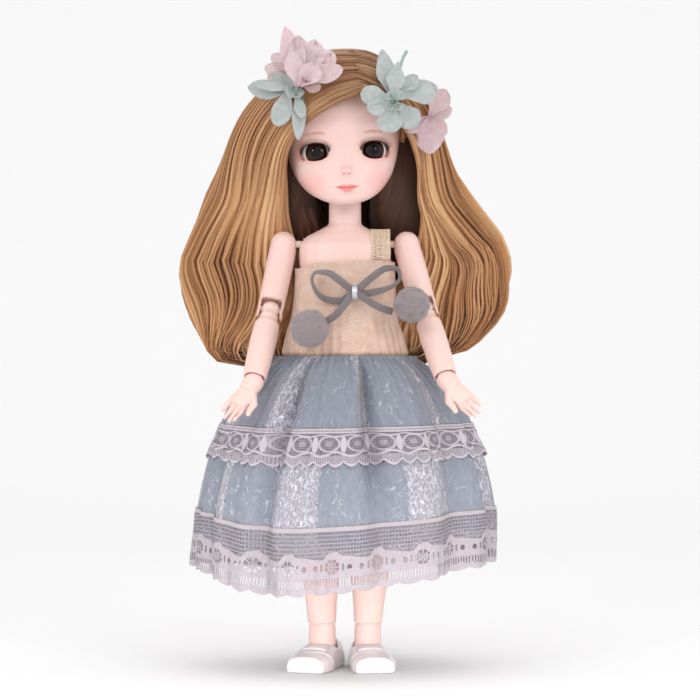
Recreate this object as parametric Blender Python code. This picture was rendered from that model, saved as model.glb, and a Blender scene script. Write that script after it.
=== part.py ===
"""Ball jointed doll, about 30 cm tall, in a gathered dress with flowers in its hair.

The doll stands on Z = 0 and faces -Y, so its own left side is +X. It is built from the ankles up.
Each of its thirteen joints is a ball with a flanged peg. In the neck, shoulders, hips, wrists and
ankles the ball sits inside a domed end and the peg turns in the piece that the dome seats against.
In the elbows and knees the ball is a knuckle between two ears, and its peg turns in the lower limb.
"""
import math
from collections import namedtuple

import bmesh
import bpy
from mathutils import Matrix, Vector
from mathutils.bvhtree import BVHTree

MM = 0.001
DEGREE = math.radians(1.0)
SIDES = {"left": 1, "right": -1}

# Clearances and faceting
GAP = 0.3 * MM
SEAT_STEP = 2.2 * MM
OVERRUN = 4.0 * MM
BALL_SEGMENTS = 10
LIMB_SEGMENTS = 12
BODY_SEGMENTS = 20
HEAD_SEGMENTS = 28
CLOTH_SEGMENTS = 48
DIGIT_SEGMENTS = 6
SMOOTH_ANGLE = 50 * DEGREE

# Ball and peg of each joint
BallPeg = namedtuple("BallPeg", "ball peg flange flange_length")
NECK_PEG = BallPeg(5.3 * MM, 2.2 * MM, 3.8 * MM, 1.6 * MM)
SHOULDER_PEG = BallPeg(4.2 * MM, 1.8 * MM, 3.2 * MM, 1.4 * MM)
ELBOW_PEG = BallPeg(4.6 * MM, 1.6 * MM, 2.5 * MM, 1.6 * MM)
WRIST_PEG = BallPeg(3.1 * MM, 1.3 * MM, 2.1 * MM, 1.4 * MM)
HIP_PEG = BallPeg(5.4 * MM, 2.3 * MM, 3.6 * MM, 1.8 * MM)
KNEE_PEG = BallPeg(6.0 * MM, 2.2 * MM, 3.4 * MM, 2.0 * MM)
ANKLE_PEG = BallPeg(4.1 * MM, 1.8 * MM, 2.8 * MM, 1.6 * MM)
TRUNNION_RADIUS = 1.4 * MM
TRUNNION_REACH = 0.7 * MM

# Sweeps of the slots, in degrees: the elbow and knee from straight, the others from the rest pose
NOD_RANGE = (-18, 18)
SPREAD_RANGE = (0, 80)
LEG_SPREAD_RANGE = (0, 35)
ELBOW_RANGE = (0, 90)
KNEE_RANGE = (0, 90)
WRIST_RANGE = (-50, 8)
ANKLE_RANGE = (-28, 28)

# Legs
SOLE_THICKNESS = 2.6 * MM
ANKLE_HEIGHT = 19.0 * MM
CALF_LENGTH = 58.0 * MM
THIGH_LENGTH = 58.0 * MM
HIP_HALF_SPACING = 14.8 * MM
ANKLE_HALF_SPACING = 11.0 * MM
HIP_DOME = 8.4 * MM
THIGH_RADIUS = 10.4 * MM
KNEE_OUTER = 8.2 * MM
KNEE_EAR = 5.0 * MM
CALF_RADIUS = 9.2 * MM
ANKLE_DOME = 6.5 * MM
CALF_END_RADIUS = 6.9 * MM
THIGH_SHARES = ((0.14, 0.81), (0.28, 0.95), (0.46, 1.0), (0.72, 0.88))
CALF_SHARES = ((0.115, 0.63), (0.17, 0.92), (0.34, 1.0), (0.58, 0.97), (0.80, 0.81))

# Feet and shoes
FOOT_LENGTH = 36.0 * MM
FOOT_WIDTH = 15.8 * MM
SHOE_WALL = 1.7 * MM
STRAP_WIDTH = 5.0 * MM
FOOT_TURNS = {"left": 7, "right": 18}
INSTEP_SHARES = ((-0.375, 0.45, 0.56), (-0.33, 0.72, 0.80), (-0.18, 0.84, 0.90), (0.0, 0.86, 0.92),
                 (0.16, 0.92, 0.80), (0.32, 1.0, 0.62), (0.46, 0.98, 0.50), (0.57, 0.82, 0.42),
                 (0.62, 0.50, 0.34))
INSTEP_HEIGHT = 13.7 * MM
SOLE_EDGE = 1.2 * MM
SOLE_SHARE = 0.88

# Torso
HIP_TO_SHOULDER = 69.3 * MM
SHOULDER_TO_NECK = 17.7 * MM
CHEST_HALF_WIDTH = 22.7 * MM
CHEST_HALF_DEPTH = 14.0 * MM
TORSO_WALL = 2.4 * MM
NECK_RADIUS = 8.0 * MM
NECK_DOME = 8.4 * MM
SHOULDER_DOME = 6.5 * MM
CROTCH_RADIUS = 7.4 * MM
TORSO_SHARES = ((0.175, 0.86, 0.95, 0.98), (0.30, 0.82, 0.90, 0.90), (0.50, 0.86, 0.95, 0.88),
                (0.72, 0.94, 1.02, 0.93), (0.88, 0.985, 1.0, 0.95), (1.0, 1.0, 0.88, 0.90),
                (1.055, 0.84, 0.74, 0.76), (1.10, 0.56, 0.63, 0.64), (1.13, 0.39, 0.60, 0.60))

# Arms
UPPER_ARM_LENGTH = 33.0 * MM
FOREARM_LENGTH = 41.0 * MM
ELBOW_OUTER = 6.3 * MM
ELBOW_EAR = 4.2 * MM
FOREARM_RADIUS = 6.4 * MM
WRIST_DOME = 5.0 * MM
WRIST_OUTER = 5.5 * MM
UPPER_ARM_SHARES = ((0.30, 1.02), (0.70, 1.0))
FOREARM_SHARES = ((0.145, 0.70), (0.21, 0.95), (0.40, 1.0), (0.75, 0.95))
ARM_SWING = 11
ARM_SPREADS = {"left": 15, "right": 11}
ELBOW_BEND = 20
HAND_TURN = 12
HAND_SPREADS = {"left": 24, "right": 22}
HAND_LENGTH = 25.0 * MM
PALM_WIDTH = 11.0 * MM
PALM_THICKNESS = 5.4 * MM
FINGER_RADIUS = 1.55 * MM
FINGER_SPACING = 2.75 * MM
FINGER_SHARES = (0.93, 1.0, 0.98, 0.86)

# Head
HEAD_HEIGHT = 71.0 * MM
HEAD_HALF_WIDTH = 28.3 * MM
HEAD_HALF_DEPTH = 29.0 * MM
HEAD_WALL = 2.0 * MM
NECK_SEAT_RADIUS = 12.0 * MM
HEAD_SEAM_BACK = 13.0 * MM
HEAD_TURN = 3
HEAD_TILT = -2.5
HEAD_SHARES = ((0.014, 0.20, -0.74, -0.50), (0.031, 0.335, -0.80, -0.33), (0.060, 0.475, -0.845, -0.10),
               (0.092, 0.58, -0.87, 0.28), (0.127, 0.665, -0.885, 0.58), (0.21, 0.81, -0.895, 0.80),
               (0.295, 0.895, -0.89, 0.93), (0.39, 0.955, -0.885, 1.01), (0.47, 0.985, -0.90, 1.05),
               (0.55, 1.0, -0.93, 1.07), (0.64, 0.985, -0.925, 1.05), (0.74, 0.92, -0.85, 0.98),
               (0.85, 0.76, -0.68, 0.82), (0.94, 0.49, -0.41, 0.53), (0.985, 0.24, -0.18, 0.26))
FACE_SQUARENESS = 2.5
NOSE_HEIGHT = 16.4 * MM
NOSE_DEPTH = 2.6 * MM
NOSE_WIDTH = 2.6 * MM
MOUTH_HEIGHT = 8.2 * MM
MOUTH_DEPTH = 0.8 * MM
MOUTH_WIDTH = 5.0 * MM
SOCKET_DEPTH = 1.5 * MM
EYE_HALF_SPACING = 14.2 * MM
EYE_HEIGHT = 25.6 * MM
EYE_HALF_WIDTH = 6.4 * MM
EYE_HALF_HEIGHT = 4.15 * MM
EYEBALL_RADIUS = 7.6 * MM
EYEBALL_FORWARD = 14.4 * MM
LASH_RADIUS = 0.45 * MM
EAR_HEIGHT = 25.0 * MM
EAR_SIZE = Vector((4.4, 5.4, 9.6)) * MM

# Hair
CROWN_THICKNESS = 6.0 * MM
HAIRLINE_HEIGHT = 51.0 * MM
CROWN_BOTTOM = 9.0 * MM
MANE_WALL = 5.5 * MM
MANE_HALF_WIDTH = 75.5 * MM
MANE_BACK = 42.0 * MM
MANE_LENGTH = 143.0 * MM
MANE_TOP = 62.0 * MM
MANE_PARTING_SHARE = 0.371
MANE_SHARES = ((0.0, -0.42, 0.40, -0.05, 0.72), (0.08, -0.66, 0.60, -0.17, 0.88),
               (0.22, -0.78, 0.69, -0.17, 0.96), (0.35, -0.83, 0.71, -0.12, 0.98),
               (0.47, -0.91, 0.81, 0.06, 0.94), (0.57, -0.975, 0.92, 0.19, 0.92),
               (0.68, -1.01, 0.98, 0.20, 0.92), (0.78, -1.015, 0.975, 0.20, 0.92),
               (0.89, -0.98, 0.87, 0.22, 0.90), (0.97, -0.84, 0.71, 0.26, 0.84),
               (1.0, -0.66, 0.55, 0.32, 0.74))
WAVE_DEPTH = 1.6 * MM
WAVES = 14

# Dress
BODICE_CLOTH = 1.0 * MM
BODICE_TOP_SHARE = 0.87
BODICE_SHARES = ((0.87, 1.0, 1.0), (0.72, 1.02, 1.06), (0.50, 1.07, 1.16), (0.36, 1.17, 1.30), (0.23, 1.25, 1.42))
BODICE_HALF_WIDTH = 24.0 * MM
BODICE_HALF_DEPTH = 15.8 * MM
STRAP_THICKNESS = 1.2 * MM
STRAP_LIFT = 1.6 * MM
STRAP_RISE = 1.0 * MM
STRAP_STEPS = 12
STRAP_CENTRE = 17.0 * MM
STRAP_BAND = 6.0 * MM
SKIRT_CLOTH = 1.1 * MM
SKIRT_TOP = 150.5 * MM
SKIRT_DROP = 104.5 * MM
HEM_RISE = 4.5 * MM
SKIRT_HALF_WIDTH = 71.5 * MM
SKIRT_HALF_DEPTH = 54.0 * MM
SKIRT_FOLDS = 12
LEAN_SHARE = 0.02
FOLD_DEPTH = 2.6 * MM
LACE_THICKNESS = 0.7 * MM
LACE_GAP = 0.5 * MM
BELL_SHARES = ((0.0, 0.44, 0.46), (0.06, 0.56, 0.52), (0.16, 0.70, 0.60), (0.32, 0.83, 0.74), (0.49, 0.92, 0.87),
               (0.72, 0.99, 0.97), (0.78, 1.0, 0.98), (0.89, 1.0, 1.0), (1.0, 1.0, 1.02))
SKIRT_ROWS = (0, 6)
LACE_ROWS = (3, 4)
HEM_ROWS = (5, 8)

# Bow and pompoms
BOW_HEIGHT = 181.0 * MM
BOW_OFFSET = 4.6 * MM
CORD_RADIUS = 1.2 * MM
KNOT_RADIUS = 2.0 * MM
KNOT_HALF_LENGTH = 4.3 * MM
WRAP_HALF_LENGTH = 1.9 * MM
WRAP_THICKNESS = 0.7 * MM
LOOP_LENGTH = 21.0 * MM
LOOP_SHARES = {"left": 0.41, "right": 0.40}
LOOP_LIFTS = {"left": 30, "right": 22}
TAIL_LENGTH = 27.7 * MM
TAIL_DROPS = {"left": 13.3, "right": 39.7}
POMPOM_RADIUS = 9.6 * MM
POMPOM_SHARES = {"left": 0.94, "right": 1.0}

# Flowers: radius, height of the cup, ruffle and stalk as shares of the mint flower's radius, azimuth from the
# front, elevation
Flower = namedtuple("Flower", "radius cup ruffle stalk azimuth elevation petals colour")
FLOWER_RADIUS = 14.0 * MM
PETAL_THICKNESS = 0.8 * MM
STALK_RADIUS = 1.6 * MM
FLOWER_SHARES = {
    "flower_pink_right": Flower(1.04, 0.32, 0.19, 0.36, -32, 58, 5, "pink_petal"),
    "flower_mint_right": Flower(1.0, 0.18, 0.17, 0.14, -59, 28, 5, "mint_petal"),
    "flower_mint_left": Flower(1.32, 0.25, 0.17, 0.37, 40, 30, 5, "mint_petal"),
    "flower_pink_left": Flower(0.96, 0.14, 0.13, 0.10, 66, 14, 5, "pink_petal"),
    "tulle_fan": Flower(0.79, 0.09, 0.06, 0.24, -84, 55, 7, "tulle"),
}

FINISHES = {
    "skin": ((0.97, 0.75, 0.69), 0.45, 0.0),
    "joint_plastic": ((0.93, 0.72, 0.66), 0.4, 0.0),
    "eye": ((0.05, 0.02, 0.015), 0.08, 0.0),
    "lash": ((0.03, 0.015, 0.012), 0.7, 0.0),
    "hair": ((0.60, 0.32, 0.14), 0.45, 0.0),
    "hair_crown": ((0.42, 0.22, 0.09), 0.45, 0.0),
    "bodice": ((0.82, 0.62, 0.51), 0.9, 0.0),
    "skirt": ((0.33, 0.38, 0.42), 0.85, 0.0),
    "lace": ((0.80, 0.77, 0.86), 0.85, 0.0),
    "cord": ((0.16, 0.13, 0.14), 0.75, 0.0),
    "silver": ((0.75, 0.75, 0.76), 0.25, 1.0),
    "pompom": ((0.46, 0.38, 0.39), 0.95, 0.0),
    "shoe": ((0.86, 0.77, 0.78), 0.3, 0.0),
    "mint_petal": ((0.52, 0.60, 0.56), 0.8, 0.0),
    "pink_petal": ((0.85, 0.62, 0.66), 0.8, 0.0),
    "tulle": ((0.72, 0.52, 0.48), 0.8, 0.0),
}

LEG_TILT = math.asin((HIP_HALF_SPACING - ANKLE_HALF_SPACING) / (CALF_LENGTH + THIGH_LENGTH))
HIP_HEIGHT = ANKLE_HEIGHT + (CALF_LENGTH + THIGH_LENGTH) * math.cos(LEG_TILT)
SHOULDER_HEIGHT = HIP_HEIGHT + HIP_TO_SHOULDER
NECK_HEIGHT = SHOULDER_HEIGHT + SHOULDER_TO_NECK
SHOULDER_HALF_SPACING = CHEST_HALF_WIDTH + GAP + SHOULDER_DOME
X_AXIS = Vector((1, 0, 0))
Y_AXIS = Vector((0, 1, 0))
Z_AXIS = Vector((0, 0, 1))


def start_empty():
    """Remove what the scene holds."""
    for item in list(bpy.data.objects):
        bpy.data.objects.remove(item, do_unlink=True)


def finish(name):
    """Return the material of that name, made once from its colour, roughness and metallic value."""
    material = bpy.data.materials.get(name)
    if material is None:
        colour, roughness, metallic = FINISHES[name]
        material = bpy.data.materials.new(name)
        material.use_nodes = True
        shader = material.node_tree.nodes["Principled BSDF"]
        shader.inputs["Base Color"].default_value = (*colour, 1)
        shader.inputs["Roughness"].default_value = roughness
        shader.inputs["Metallic"].default_value = metallic
    return material


def frame(name, parent=None, place=(0, 0, 0), turn=None):
    """Return an empty that carries a joint or a sub-assembly."""
    empty = bpy.data.objects.new(name, None)
    bpy.context.scene.collection.objects.link(empty)
    empty.parent = parent
    empty.matrix_local = Matrix.Translation(place) @ (turn or Matrix.Identity(4))
    return empty


def add(name, bm, finish_name=None, parent=None):
    """Turn a bmesh into an object. Without a finish it is a cutter."""
    bmesh.ops.recalc_face_normals(bm, faces=bm.faces)
    mesh = bpy.data.meshes.new(name)
    bm.to_mesh(mesh)
    bm.free()
    mesh.shade_smooth()
    mesh.set_sharp_from_angle(angle=SMOOTH_ANGLE)
    item = bpy.data.objects.new(name, mesh)
    bpy.context.scene.collection.objects.link(item)
    item.parent = parent
    if finish_name:
        mesh.materials.append(finish(finish_name))
    else:
        item.hide_render = True
        item.display_type = "WIRE"
    return item


def combine(item, operation, *others):
    """Join, cut or intersect an object with others in a single exact Boolean."""
    group = bpy.data.collections.new(item.name + "_" + operation.lower())
    for other in others:
        group.objects.link(other)
    modifier = item.modifiers.new(operation.lower(), "BOOLEAN")
    modifier.operation = operation
    modifier.solver = "EXACT"
    modifier.operand_type = "COLLECTION"
    modifier.collection = group
    return item


def cut(item, *others):
    """Take the other objects away from this one."""
    return combine(item, "DIFFERENCE", *others)


def loft(rings, cyclic=False):
    """Skin a row of rings. A ring of one point is a pole, and a cyclic row closes on itself."""
    bm = bmesh.new()
    rows = [[bm.verts.new(point) for point in ring] for ring in rings]
    pairs = list(zip(rows, rows[1:]))
    if cyclic:
        pairs.append((rows[-1], rows[0]))
    for low, high in pairs:
        count = max(len(low), len(high))
        for step in range(count):
            corners = [low[step % len(low)], low[(step + 1) % len(low)],
                       high[(step + 1) % len(high)], high[step % len(high)]]
            bm.faces.new(list(dict.fromkeys(corners)))
    if not cyclic:
        for end in (rows[0], rows[-1]):
            if len(end) > 1:
                bm.faces.new(end)
    bm.normal_update()
    return bm


def circle(radius, height, segments):
    """Return one level ring, or its centre where the radius is zero."""
    if radius <= 0:
        return [Vector((0, 0, height))]
    steps = [2 * math.pi * step / segments for step in range(segments)]
    return [Vector((radius * math.cos(a), radius * math.sin(a), height)) for a in steps]


def revolve(profile, segments):
    """Turn a profile of (radius, height) about Z."""
    return loft([circle(radius, height, segments) for radius, height in profile])


def power_of(value, exponent):
    """Raise a value's size to a power and keep its sign."""
    return math.copysign(abs(value) ** exponent, value)


def oval(half_width, front, back, height, segments, centre=0, front_power=2.0):
    """Return a level ring between two depths, squarer in front where the front power is over 2."""
    middle = (front + back) / 2
    half_depth = (back - front) / 2
    ring = []
    for step in range(segments):
        angle = 2 * math.pi * step / segments
        exponent = 2 / front_power if math.sin(angle) < 0 else 1
        across = power_of(math.cos(angle), exponent)
        deep = power_of(math.sin(angle), exponent)
        ring.append(Vector((centre + half_width * across, middle + half_depth * deep, height)))
    return ring


def arc(radius, start, end, steps):
    """Return (radius, height) points along a circle, by angle above the horizontal."""
    angles = [start + (end - start) * step / steps for step in range(steps + 1)]
    return [(radius * math.cos(a), radius * math.sin(a)) for a in angles]


def prism(outline, axis, half_length):
    """Extrude a closed outline both ways along an axis."""
    bm = bmesh.new()
    face = bm.faces.new([bm.verts.new(point - axis * half_length) for point in outline])
    swept = bmesh.ops.extrude_face_region(bm, geom=[face])
    top = [item for item in swept["geom"] if isinstance(item, bmesh.types.BMVert)]
    bmesh.ops.translate(bm, verts=top, vec=axis * half_length * 2)
    return bm


def block(low, high):
    """Return a box between two corners."""
    bm = bmesh.new()
    middle = Matrix.Translation((Vector(low) + Vector(high)) / 2)
    bmesh.ops.create_cube(bm, size=1, matrix=middle @ Matrix.Diagonal((*(Vector(high) - Vector(low)), 1)))
    return bm


def room_round(radius, segments=BALL_SEGMENTS):
    """Return the radius of a faceted hollow in which a faceted ball turns freely."""
    return (radius + GAP / 3) / math.cos(math.pi / segments) ** 2


def ball(radius, segments=BALL_SEGMENTS):
    """Return a sphere about the origin."""
    quarter = math.pi / 2
    inner = arc(radius, -quarter, quarter, segments // 2)[1:-1]
    return revolve([(0, -radius), *inner, (0, radius)], segments)


def turned_to(bm, direction):
    """Turn a solid made along +Z so that it points another way."""
    turn = Z_AXIS.rotation_difference(direction).to_matrix().to_4x4()
    bmesh.ops.transform(bm, matrix=turn, verts=bm.verts)
    return bm


def peg_profile(size, reach, spare, ball_radius=None):
    """Return the profile of a ball and its flanged peg, or of the hole for them."""
    radius = ball_radius or size.ball + spare
    stem = size.peg + spare
    meet = math.acos(stem / radius)
    points = arc(radius, -math.pi / 2, meet, BALL_SEGMENTS // 2)[1:]
    flange_start = reach - spare
    flange_end = reach + size.flange_length + spare
    return [(0, -radius), *points, (stem, flange_start), (size.flange + spare, flange_start),
            (size.flange + spare, flange_end), (0, flange_end)]


def ball_and_peg(name, parent, size, direction, reach):
    """Make the ball piece of a joint, with its peg along a direction."""
    bm = turned_to(revolve(peg_profile(size, reach, 0), BALL_SEGMENTS), direction)
    return add(name, bm, "joint_plastic", parent)


def peg_bore(name, parent, size, direction, reach):
    """Make the cutter for a peg that turns in its bore behind a flange."""
    profile = peg_profile(size, reach, GAP)[-4:]
    bm = turned_to(revolve([(0, 0), (size.peg + GAP, 0), *profile], BALL_SEGMENTS), direction)
    return add(name, bm, None, parent)


def dome_cutters(name, parent, size, direction, axis, span, dome):
    """Make the cutters of a domed end: the ball's cavity, and the slot that its peg sweeps."""
    cavity = add(name + "_cavity", ball(room_round(size.ball)), None, parent)
    side = axis.cross(direction)
    half = size.peg + GAP
    low, high = -span[1] * DEGREE, -span[0] * DEGREE
    reach = dome + OVERRUN
    steps = 1 + int((high - low) / (15 * DEGREE))
    turns = [low + (high - low) * step / steps for step in range(steps + 1)]
    rays = [direction * math.cos(a) + side * math.sin(a) for a in turns]
    edges = [side * math.cos(a) - direction * math.sin(a) for a in turns]
    outline = [edges[0] * -half, rays[0] * reach - edges[0] * half]
    outline += [ray * reach * 1.3 for ray in rays[1:-1]]
    outline += [rays[-1] * reach + edges[-1] * half, edges[-1] * half]
    slot = add(name + "_slot", prism(outline, axis, half), None, parent)
    return cavity, slot


def seat_cutter(name, parent, dome, direction, flare=0):
    """Make the cutter of the hollow seat that a dome turns in."""
    radius = room_round(dome, LIMB_SEGMENTS)
    profile = arc(radius, math.pi / 2, 0, BALL_SEGMENTS // 2)[1:]
    bm = revolve([(0, radius), *profile, (radius + flare, -dome), (0, -dome)], LIMB_SEGMENTS)
    return add(name, turned_to(bm, direction), None, parent)


def knuckle(name, parent, size, reach):
    """Make a knuckle: a ball with a trunnion on each side and a flanged peg pointing down."""
    half = size.ball + GAP + TRUNNION_REACH
    meet = math.acos(TRUNNION_RADIUS / size.ball)
    curve = arc(size.ball, -meet, meet, BALL_SEGMENTS // 2)
    profile = [(0, -half), (TRUNNION_RADIUS, -half), *curve, (TRUNNION_RADIUS, half), (0, half)]
    body = add(name, turned_to(revolve(profile, BALL_SEGMENTS), X_AXIS), "joint_plastic", parent)
    down = peg_profile(size, reach, 0)[-4:]
    peg = add(name + "_peg", turned_to(revolve([(0, 0), (size.peg, 0), *down], BALL_SEGMENTS), -Z_AXIS), None, parent)
    return combine(body, "UNION", peg)


def fork_cutters(name, parent, size, ear, outer, toward, span):
    """Make the cutters of an eared end: the sweep of the knuckle and limb, and the trunnion holes."""
    half = size.ball + GAP
    reach = outer + ear + OVERRUN
    bend = span[1] * DEGREE
    down = -Z_AXIS
    sweep = [math.pi - bend if step == 8 else (math.pi - bend) * step / 8 for step in range(9)]
    outline = [down * reach - toward * half]
    outline += [-toward * half * math.cos(a) + Z_AXIS * half * math.sin(a) for a in sweep]
    ray = down * math.cos(bend) + toward * math.sin(bend)
    edge = toward * math.cos(bend) - down * math.sin(bend)
    outline += [ray * reach + edge * half, (ray + down + toward) * reach]
    slot = add(name + "_slot", prism(outline, X_AXIS, half), None, parent)
    length = half + TRUNNION_REACH + GAP
    hole = revolve([(0, -length), (TRUNNION_RADIUS + GAP, -length), (TRUNNION_RADIUS + GAP, length), (0, length)],
                   BALL_SEGMENTS)
    return slot, add(name + "_pin_hole", turned_to(hole, X_AXIS), None, parent)


def limb(name, parent, rows, finish_name="skin"):
    """Make a limb of round rings: rows of (radius, height) from the top down."""
    return add(name, revolve(rows, LIMB_SEGMENTS), finish_name, parent)


def domed(dome, rows, length):
    """Return the rows of a limb that hangs from a dome about the origin."""
    cap = arc(dome, math.pi / 2, -math.pi / 18, BALL_SEGMENTS // 2)[1:]
    return [(0, dome), *cap, *[(radius, -share * length) for share, radius in rows]]


def make_leg(side, parts):
    """Make one leg from the hip to the shoe."""
    sign = SIDES[side]
    medial = X_AXIS * -sign
    hip = frame(side + "_hip", None, (sign * HIP_HALF_SPACING, 0, HIP_HEIGHT))
    reach = HIP_HALF_SPACING / 2 + GAP * 12
    parts[side + "_hip_ball"] = ball_and_peg(side + "_hip_ball", hip, HIP_PEG, medial, reach)
    parts["hip_bores"].append(peg_bore(side + "_hip_bore", hip, HIP_PEG, medial, reach))
    spread = Y_AXIS * -sign
    cutters = dome_cutters(side + "_hip", hip, HIP_PEG, medial, spread, LEG_SPREAD_RANGE, HIP_DOME)
    leg = frame(side + "_leg", hip, turn=Matrix.Rotation(sign * LEG_TILT, 4, "Y"))
    rows = [(share, THIGH_RADIUS * size) for share, size in THIGH_SHARES]
    rows += [(1.0, KNEE_OUTER), (1 + KNEE_EAR / THIGH_LENGTH, KNEE_OUTER)]
    thigh = limb(side + "_thigh", leg, domed(HIP_DOME, rows, THIGH_LENGTH))
    cut(thigh, *cutters)
    knee = frame(side + "_knee", leg, (0, 0, -THIGH_LENGTH))
    cut(thigh, *fork_cutters(side + "_knee", knee, KNEE_PEG, KNEE_EAR, KNEE_OUTER, Y_AXIS, KNEE_RANGE))
    peg_reach = KNEE_PEG.ball * 2
    knuckle(side + "_knee_ball", knee, KNEE_PEG, peg_reach)
    ankle = frame(side + "_ankle", knee, (0, 0, -CALF_LENGTH))
    top = KNEE_PEG.ball / 2
    end = CALF_LENGTH - SEAT_STEP
    rows = [(0, -top), (KNEE_PEG.ball - GAP, -top)]
    rows += [(CALF_RADIUS * size, -share * CALF_LENGTH) for share, size in CALF_SHARES]
    rows += [(CALF_END_RADIUS, -end + SEAT_STEP), (CALF_END_RADIUS, -end), (0, -end)]
    calf = limb(side + "_calf", knee, rows)
    seat = add(side + "_knee_seat", ball(room_round(KNEE_PEG.ball)), None, knee)
    cut(calf, seat, peg_bore(side + "_knee_bore", knee, KNEE_PEG, -Z_AXIS, peg_reach))
    up_reach = ANKLE_DOME * 1.6
    cut(calf, seat_cutter(side + "_ankle_seat", ankle, ANKLE_DOME, Z_AXIS),
        peg_bore(side + "_ankle_bore", ankle, ANKLE_PEG, Z_AXIS, up_reach))
    ball_and_peg(side + "_ankle_ball", ankle, ANKLE_PEG, Z_AXIS, up_reach)
    hinge = frame(side + "_ankle_hinge", ankle, turn=Matrix.Rotation(FOOT_TURNS[side] * DEGREE * sign, 4, "Z"))
    slots = dome_cutters(side + "_ankle", hinge, ANKLE_PEG, Z_AXIS, X_AXIS, ANKLE_RANGE, ANKLE_DOME)
    make_foot(side, sign, slots)


def foot_rings(grow, floor):
    """Return upright rings along the foot, from the heel to the toe, grown by a clearance or a wall."""
    rings = []
    ends = {INSTEP_SHARES[0]: grow, INSTEP_SHARES[-1]: -grow}
    for row in INSTEP_SHARES:
        along, width, rise = row
        half = width * FOOT_WIDTH / 2 + grow
        y = -along * FOOT_LENGTH + ends.get(row, 0)
        base = floor + SOLE_EDGE
        top = rise * INSTEP_HEIGHT + grow - base
        ring = [Vector((half * SOLE_SHARE, y, floor))]
        for step in range(9):
            angle = math.pi * step / 8
            across = half * power_of(math.cos(angle), 0.7)
            ring.append(Vector((across, y, base + top * power_of(math.sin(angle), 0.8))))
        ring.append(Vector((-half * SOLE_SHARE, y, floor)))
        rings.append(ring)
    return rings


def make_foot(side, sign, slots):
    """Make a foot with its ankle dome, and the shoe round it."""
    turn = Matrix.Rotation(FOOT_TURNS[side] * DEGREE * sign, 4, "Z")
    base = frame(side + "_foot_base", None, (sign * ANKLE_HALF_SPACING, 0, 0), turn)
    neck_bottom = ANKLE_HEIGHT * 0.55
    collar_bottom = ANKLE_HEIGHT * 0.45
    floor = SOLE_THICKNESS + GAP
    rows = [(0, ANKLE_HEIGHT + ANKLE_DOME)]
    rows += [(r, z + ANKLE_HEIGHT) for r, z in arc(ANKLE_DOME, math.pi / 2, 0, BALL_SEGMENTS // 2)[1:]]
    rows += [(ANKLE_DOME, neck_bottom), (0, neck_bottom)]
    foot = add(side + "_foot", loft(foot_rings(0, floor)), "skin", base)
    column = add(side + "_ankle_column", revolve(rows, LIMB_SEGMENTS), None, base)
    combine(foot, "UNION", column)
    cut(foot, *slots)
    shoe = add(side + "_shoe", loft(foot_rings(SHOE_WALL + GAP, 0)), "shoe", base)
    hollow = add(side + "_shoe_hollow", loft(foot_rings(GAP, SOLE_THICKNESS)), None, base)
    cut(shoe, hollow)
    collar_rows = [(0, ANKLE_HEIGHT * 2), (ANKLE_DOME + GAP * 3, ANKLE_HEIGHT * 2),
                   (ANKLE_DOME + GAP * 3, collar_bottom), (0, collar_bottom)]
    collar = add(side + "_shoe_collar", revolve(collar_rows, LIMB_SEGMENTS), None, base)
    front = -ANKLE_DOME - GAP * 3 - STRAP_WIDTH
    throat_length = FOOT_LENGTH * 0.14
    throat_half = FOOT_WIDTH * 0.38
    outline = [Vector((throat_half * math.cos(a), front - throat_length * abs(math.sin(a)), ANKLE_HEIGHT))
               for a in [math.pi * step / 10 for step in range(11)]]
    throat = add(side + "_shoe_throat", prism(outline, Z_AXIS, ANKLE_HEIGHT * 0.78), None, base)
    cut(shoe, collar, throat)


def torso_rings(inset, low, high):
    """Return the torso's level rings between two height shares, drawn in by a wall."""
    rings = []
    for share, width, front, back in TORSO_SHARES:
        if low <= share <= high:
            rings.append(oval(CHEST_HALF_WIDTH * width - inset, -CHEST_HALF_DEPTH * front + inset,
                              CHEST_HALF_DEPTH * back - inset, HIP_HEIGHT + share * HIP_TO_SHOULDER, BODY_SEGMENTS))
    return rings


def neck_rings(grow):
    """Return the rings of the neck column and its dome, about the neck's ball."""
    column_top = math.sqrt(NECK_DOME ** 2 - NECK_RADIUS ** 2)
    start = math.asin(column_top / NECK_DOME)
    rows = [(NECK_RADIUS, -NECK_RADIUS)]
    rows += arc(NECK_DOME, start, math.pi / 2, BALL_SEGMENTS // 2)[:-1]
    rings = [circle(radius + grow, height + NECK_HEIGHT, BODY_SEGMENTS) for radius, height in rows]
    return [*rings, [Vector((0, 0, NECK_HEIGHT + NECK_DOME + grow))]]


def make_torso(parts):
    """Make the two halves of the torso, clamped round the pegs of the neck, shoulders and hips."""
    neck_slots = dome_cutters("neck", parts["neck"], NECK_PEG, Z_AXIS, X_AXIS, NOD_RANGE, NECK_DOME)
    for name, direction in (("torso_front", 1), ("torso_back", -1)):
        body = add(name, loft(torso_rings(0, 0, 2) + neck_rings(0)), "skin")
        inner = torso_rings(TORSO_WALL, 0.2, 1.09)
        hollow = add(name + "_hollow", loft(inner), None)
        side = CROTCH_RADIUS
        top = TORSO_SHARES[0][0] * HIP_TO_SHOULDER + TORSO_WALL
        curve = [Vector((0, side * math.cos(a), HIP_HEIGHT - side * math.sin(a)))
                 for a in [math.pi * step / 12 for step in range(13)]]
        outline = [Vector((0, side, HIP_HEIGHT + top)), *curve, Vector((0, -side, HIP_HEIGHT + top))]
        width = HIP_HALF_SPACING - HIP_DOME - GAP
        crotch = add(name + "_crotch", prism(outline, X_AXIS, width), None)
        span = CHEST_HALF_WIDTH * 2
        middle = direction * (span - GAP) / 2
        half = add(name + "_half", block((-span, middle - span / 2, 0), (span, middle + span / 2, NECK_HEIGHT * 2)))
        combine(body, "UNION", crotch)
        cut(body, hollow, half, *neck_slots, *parts["shoulder_bores"], *parts["hip_bores"])


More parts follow.
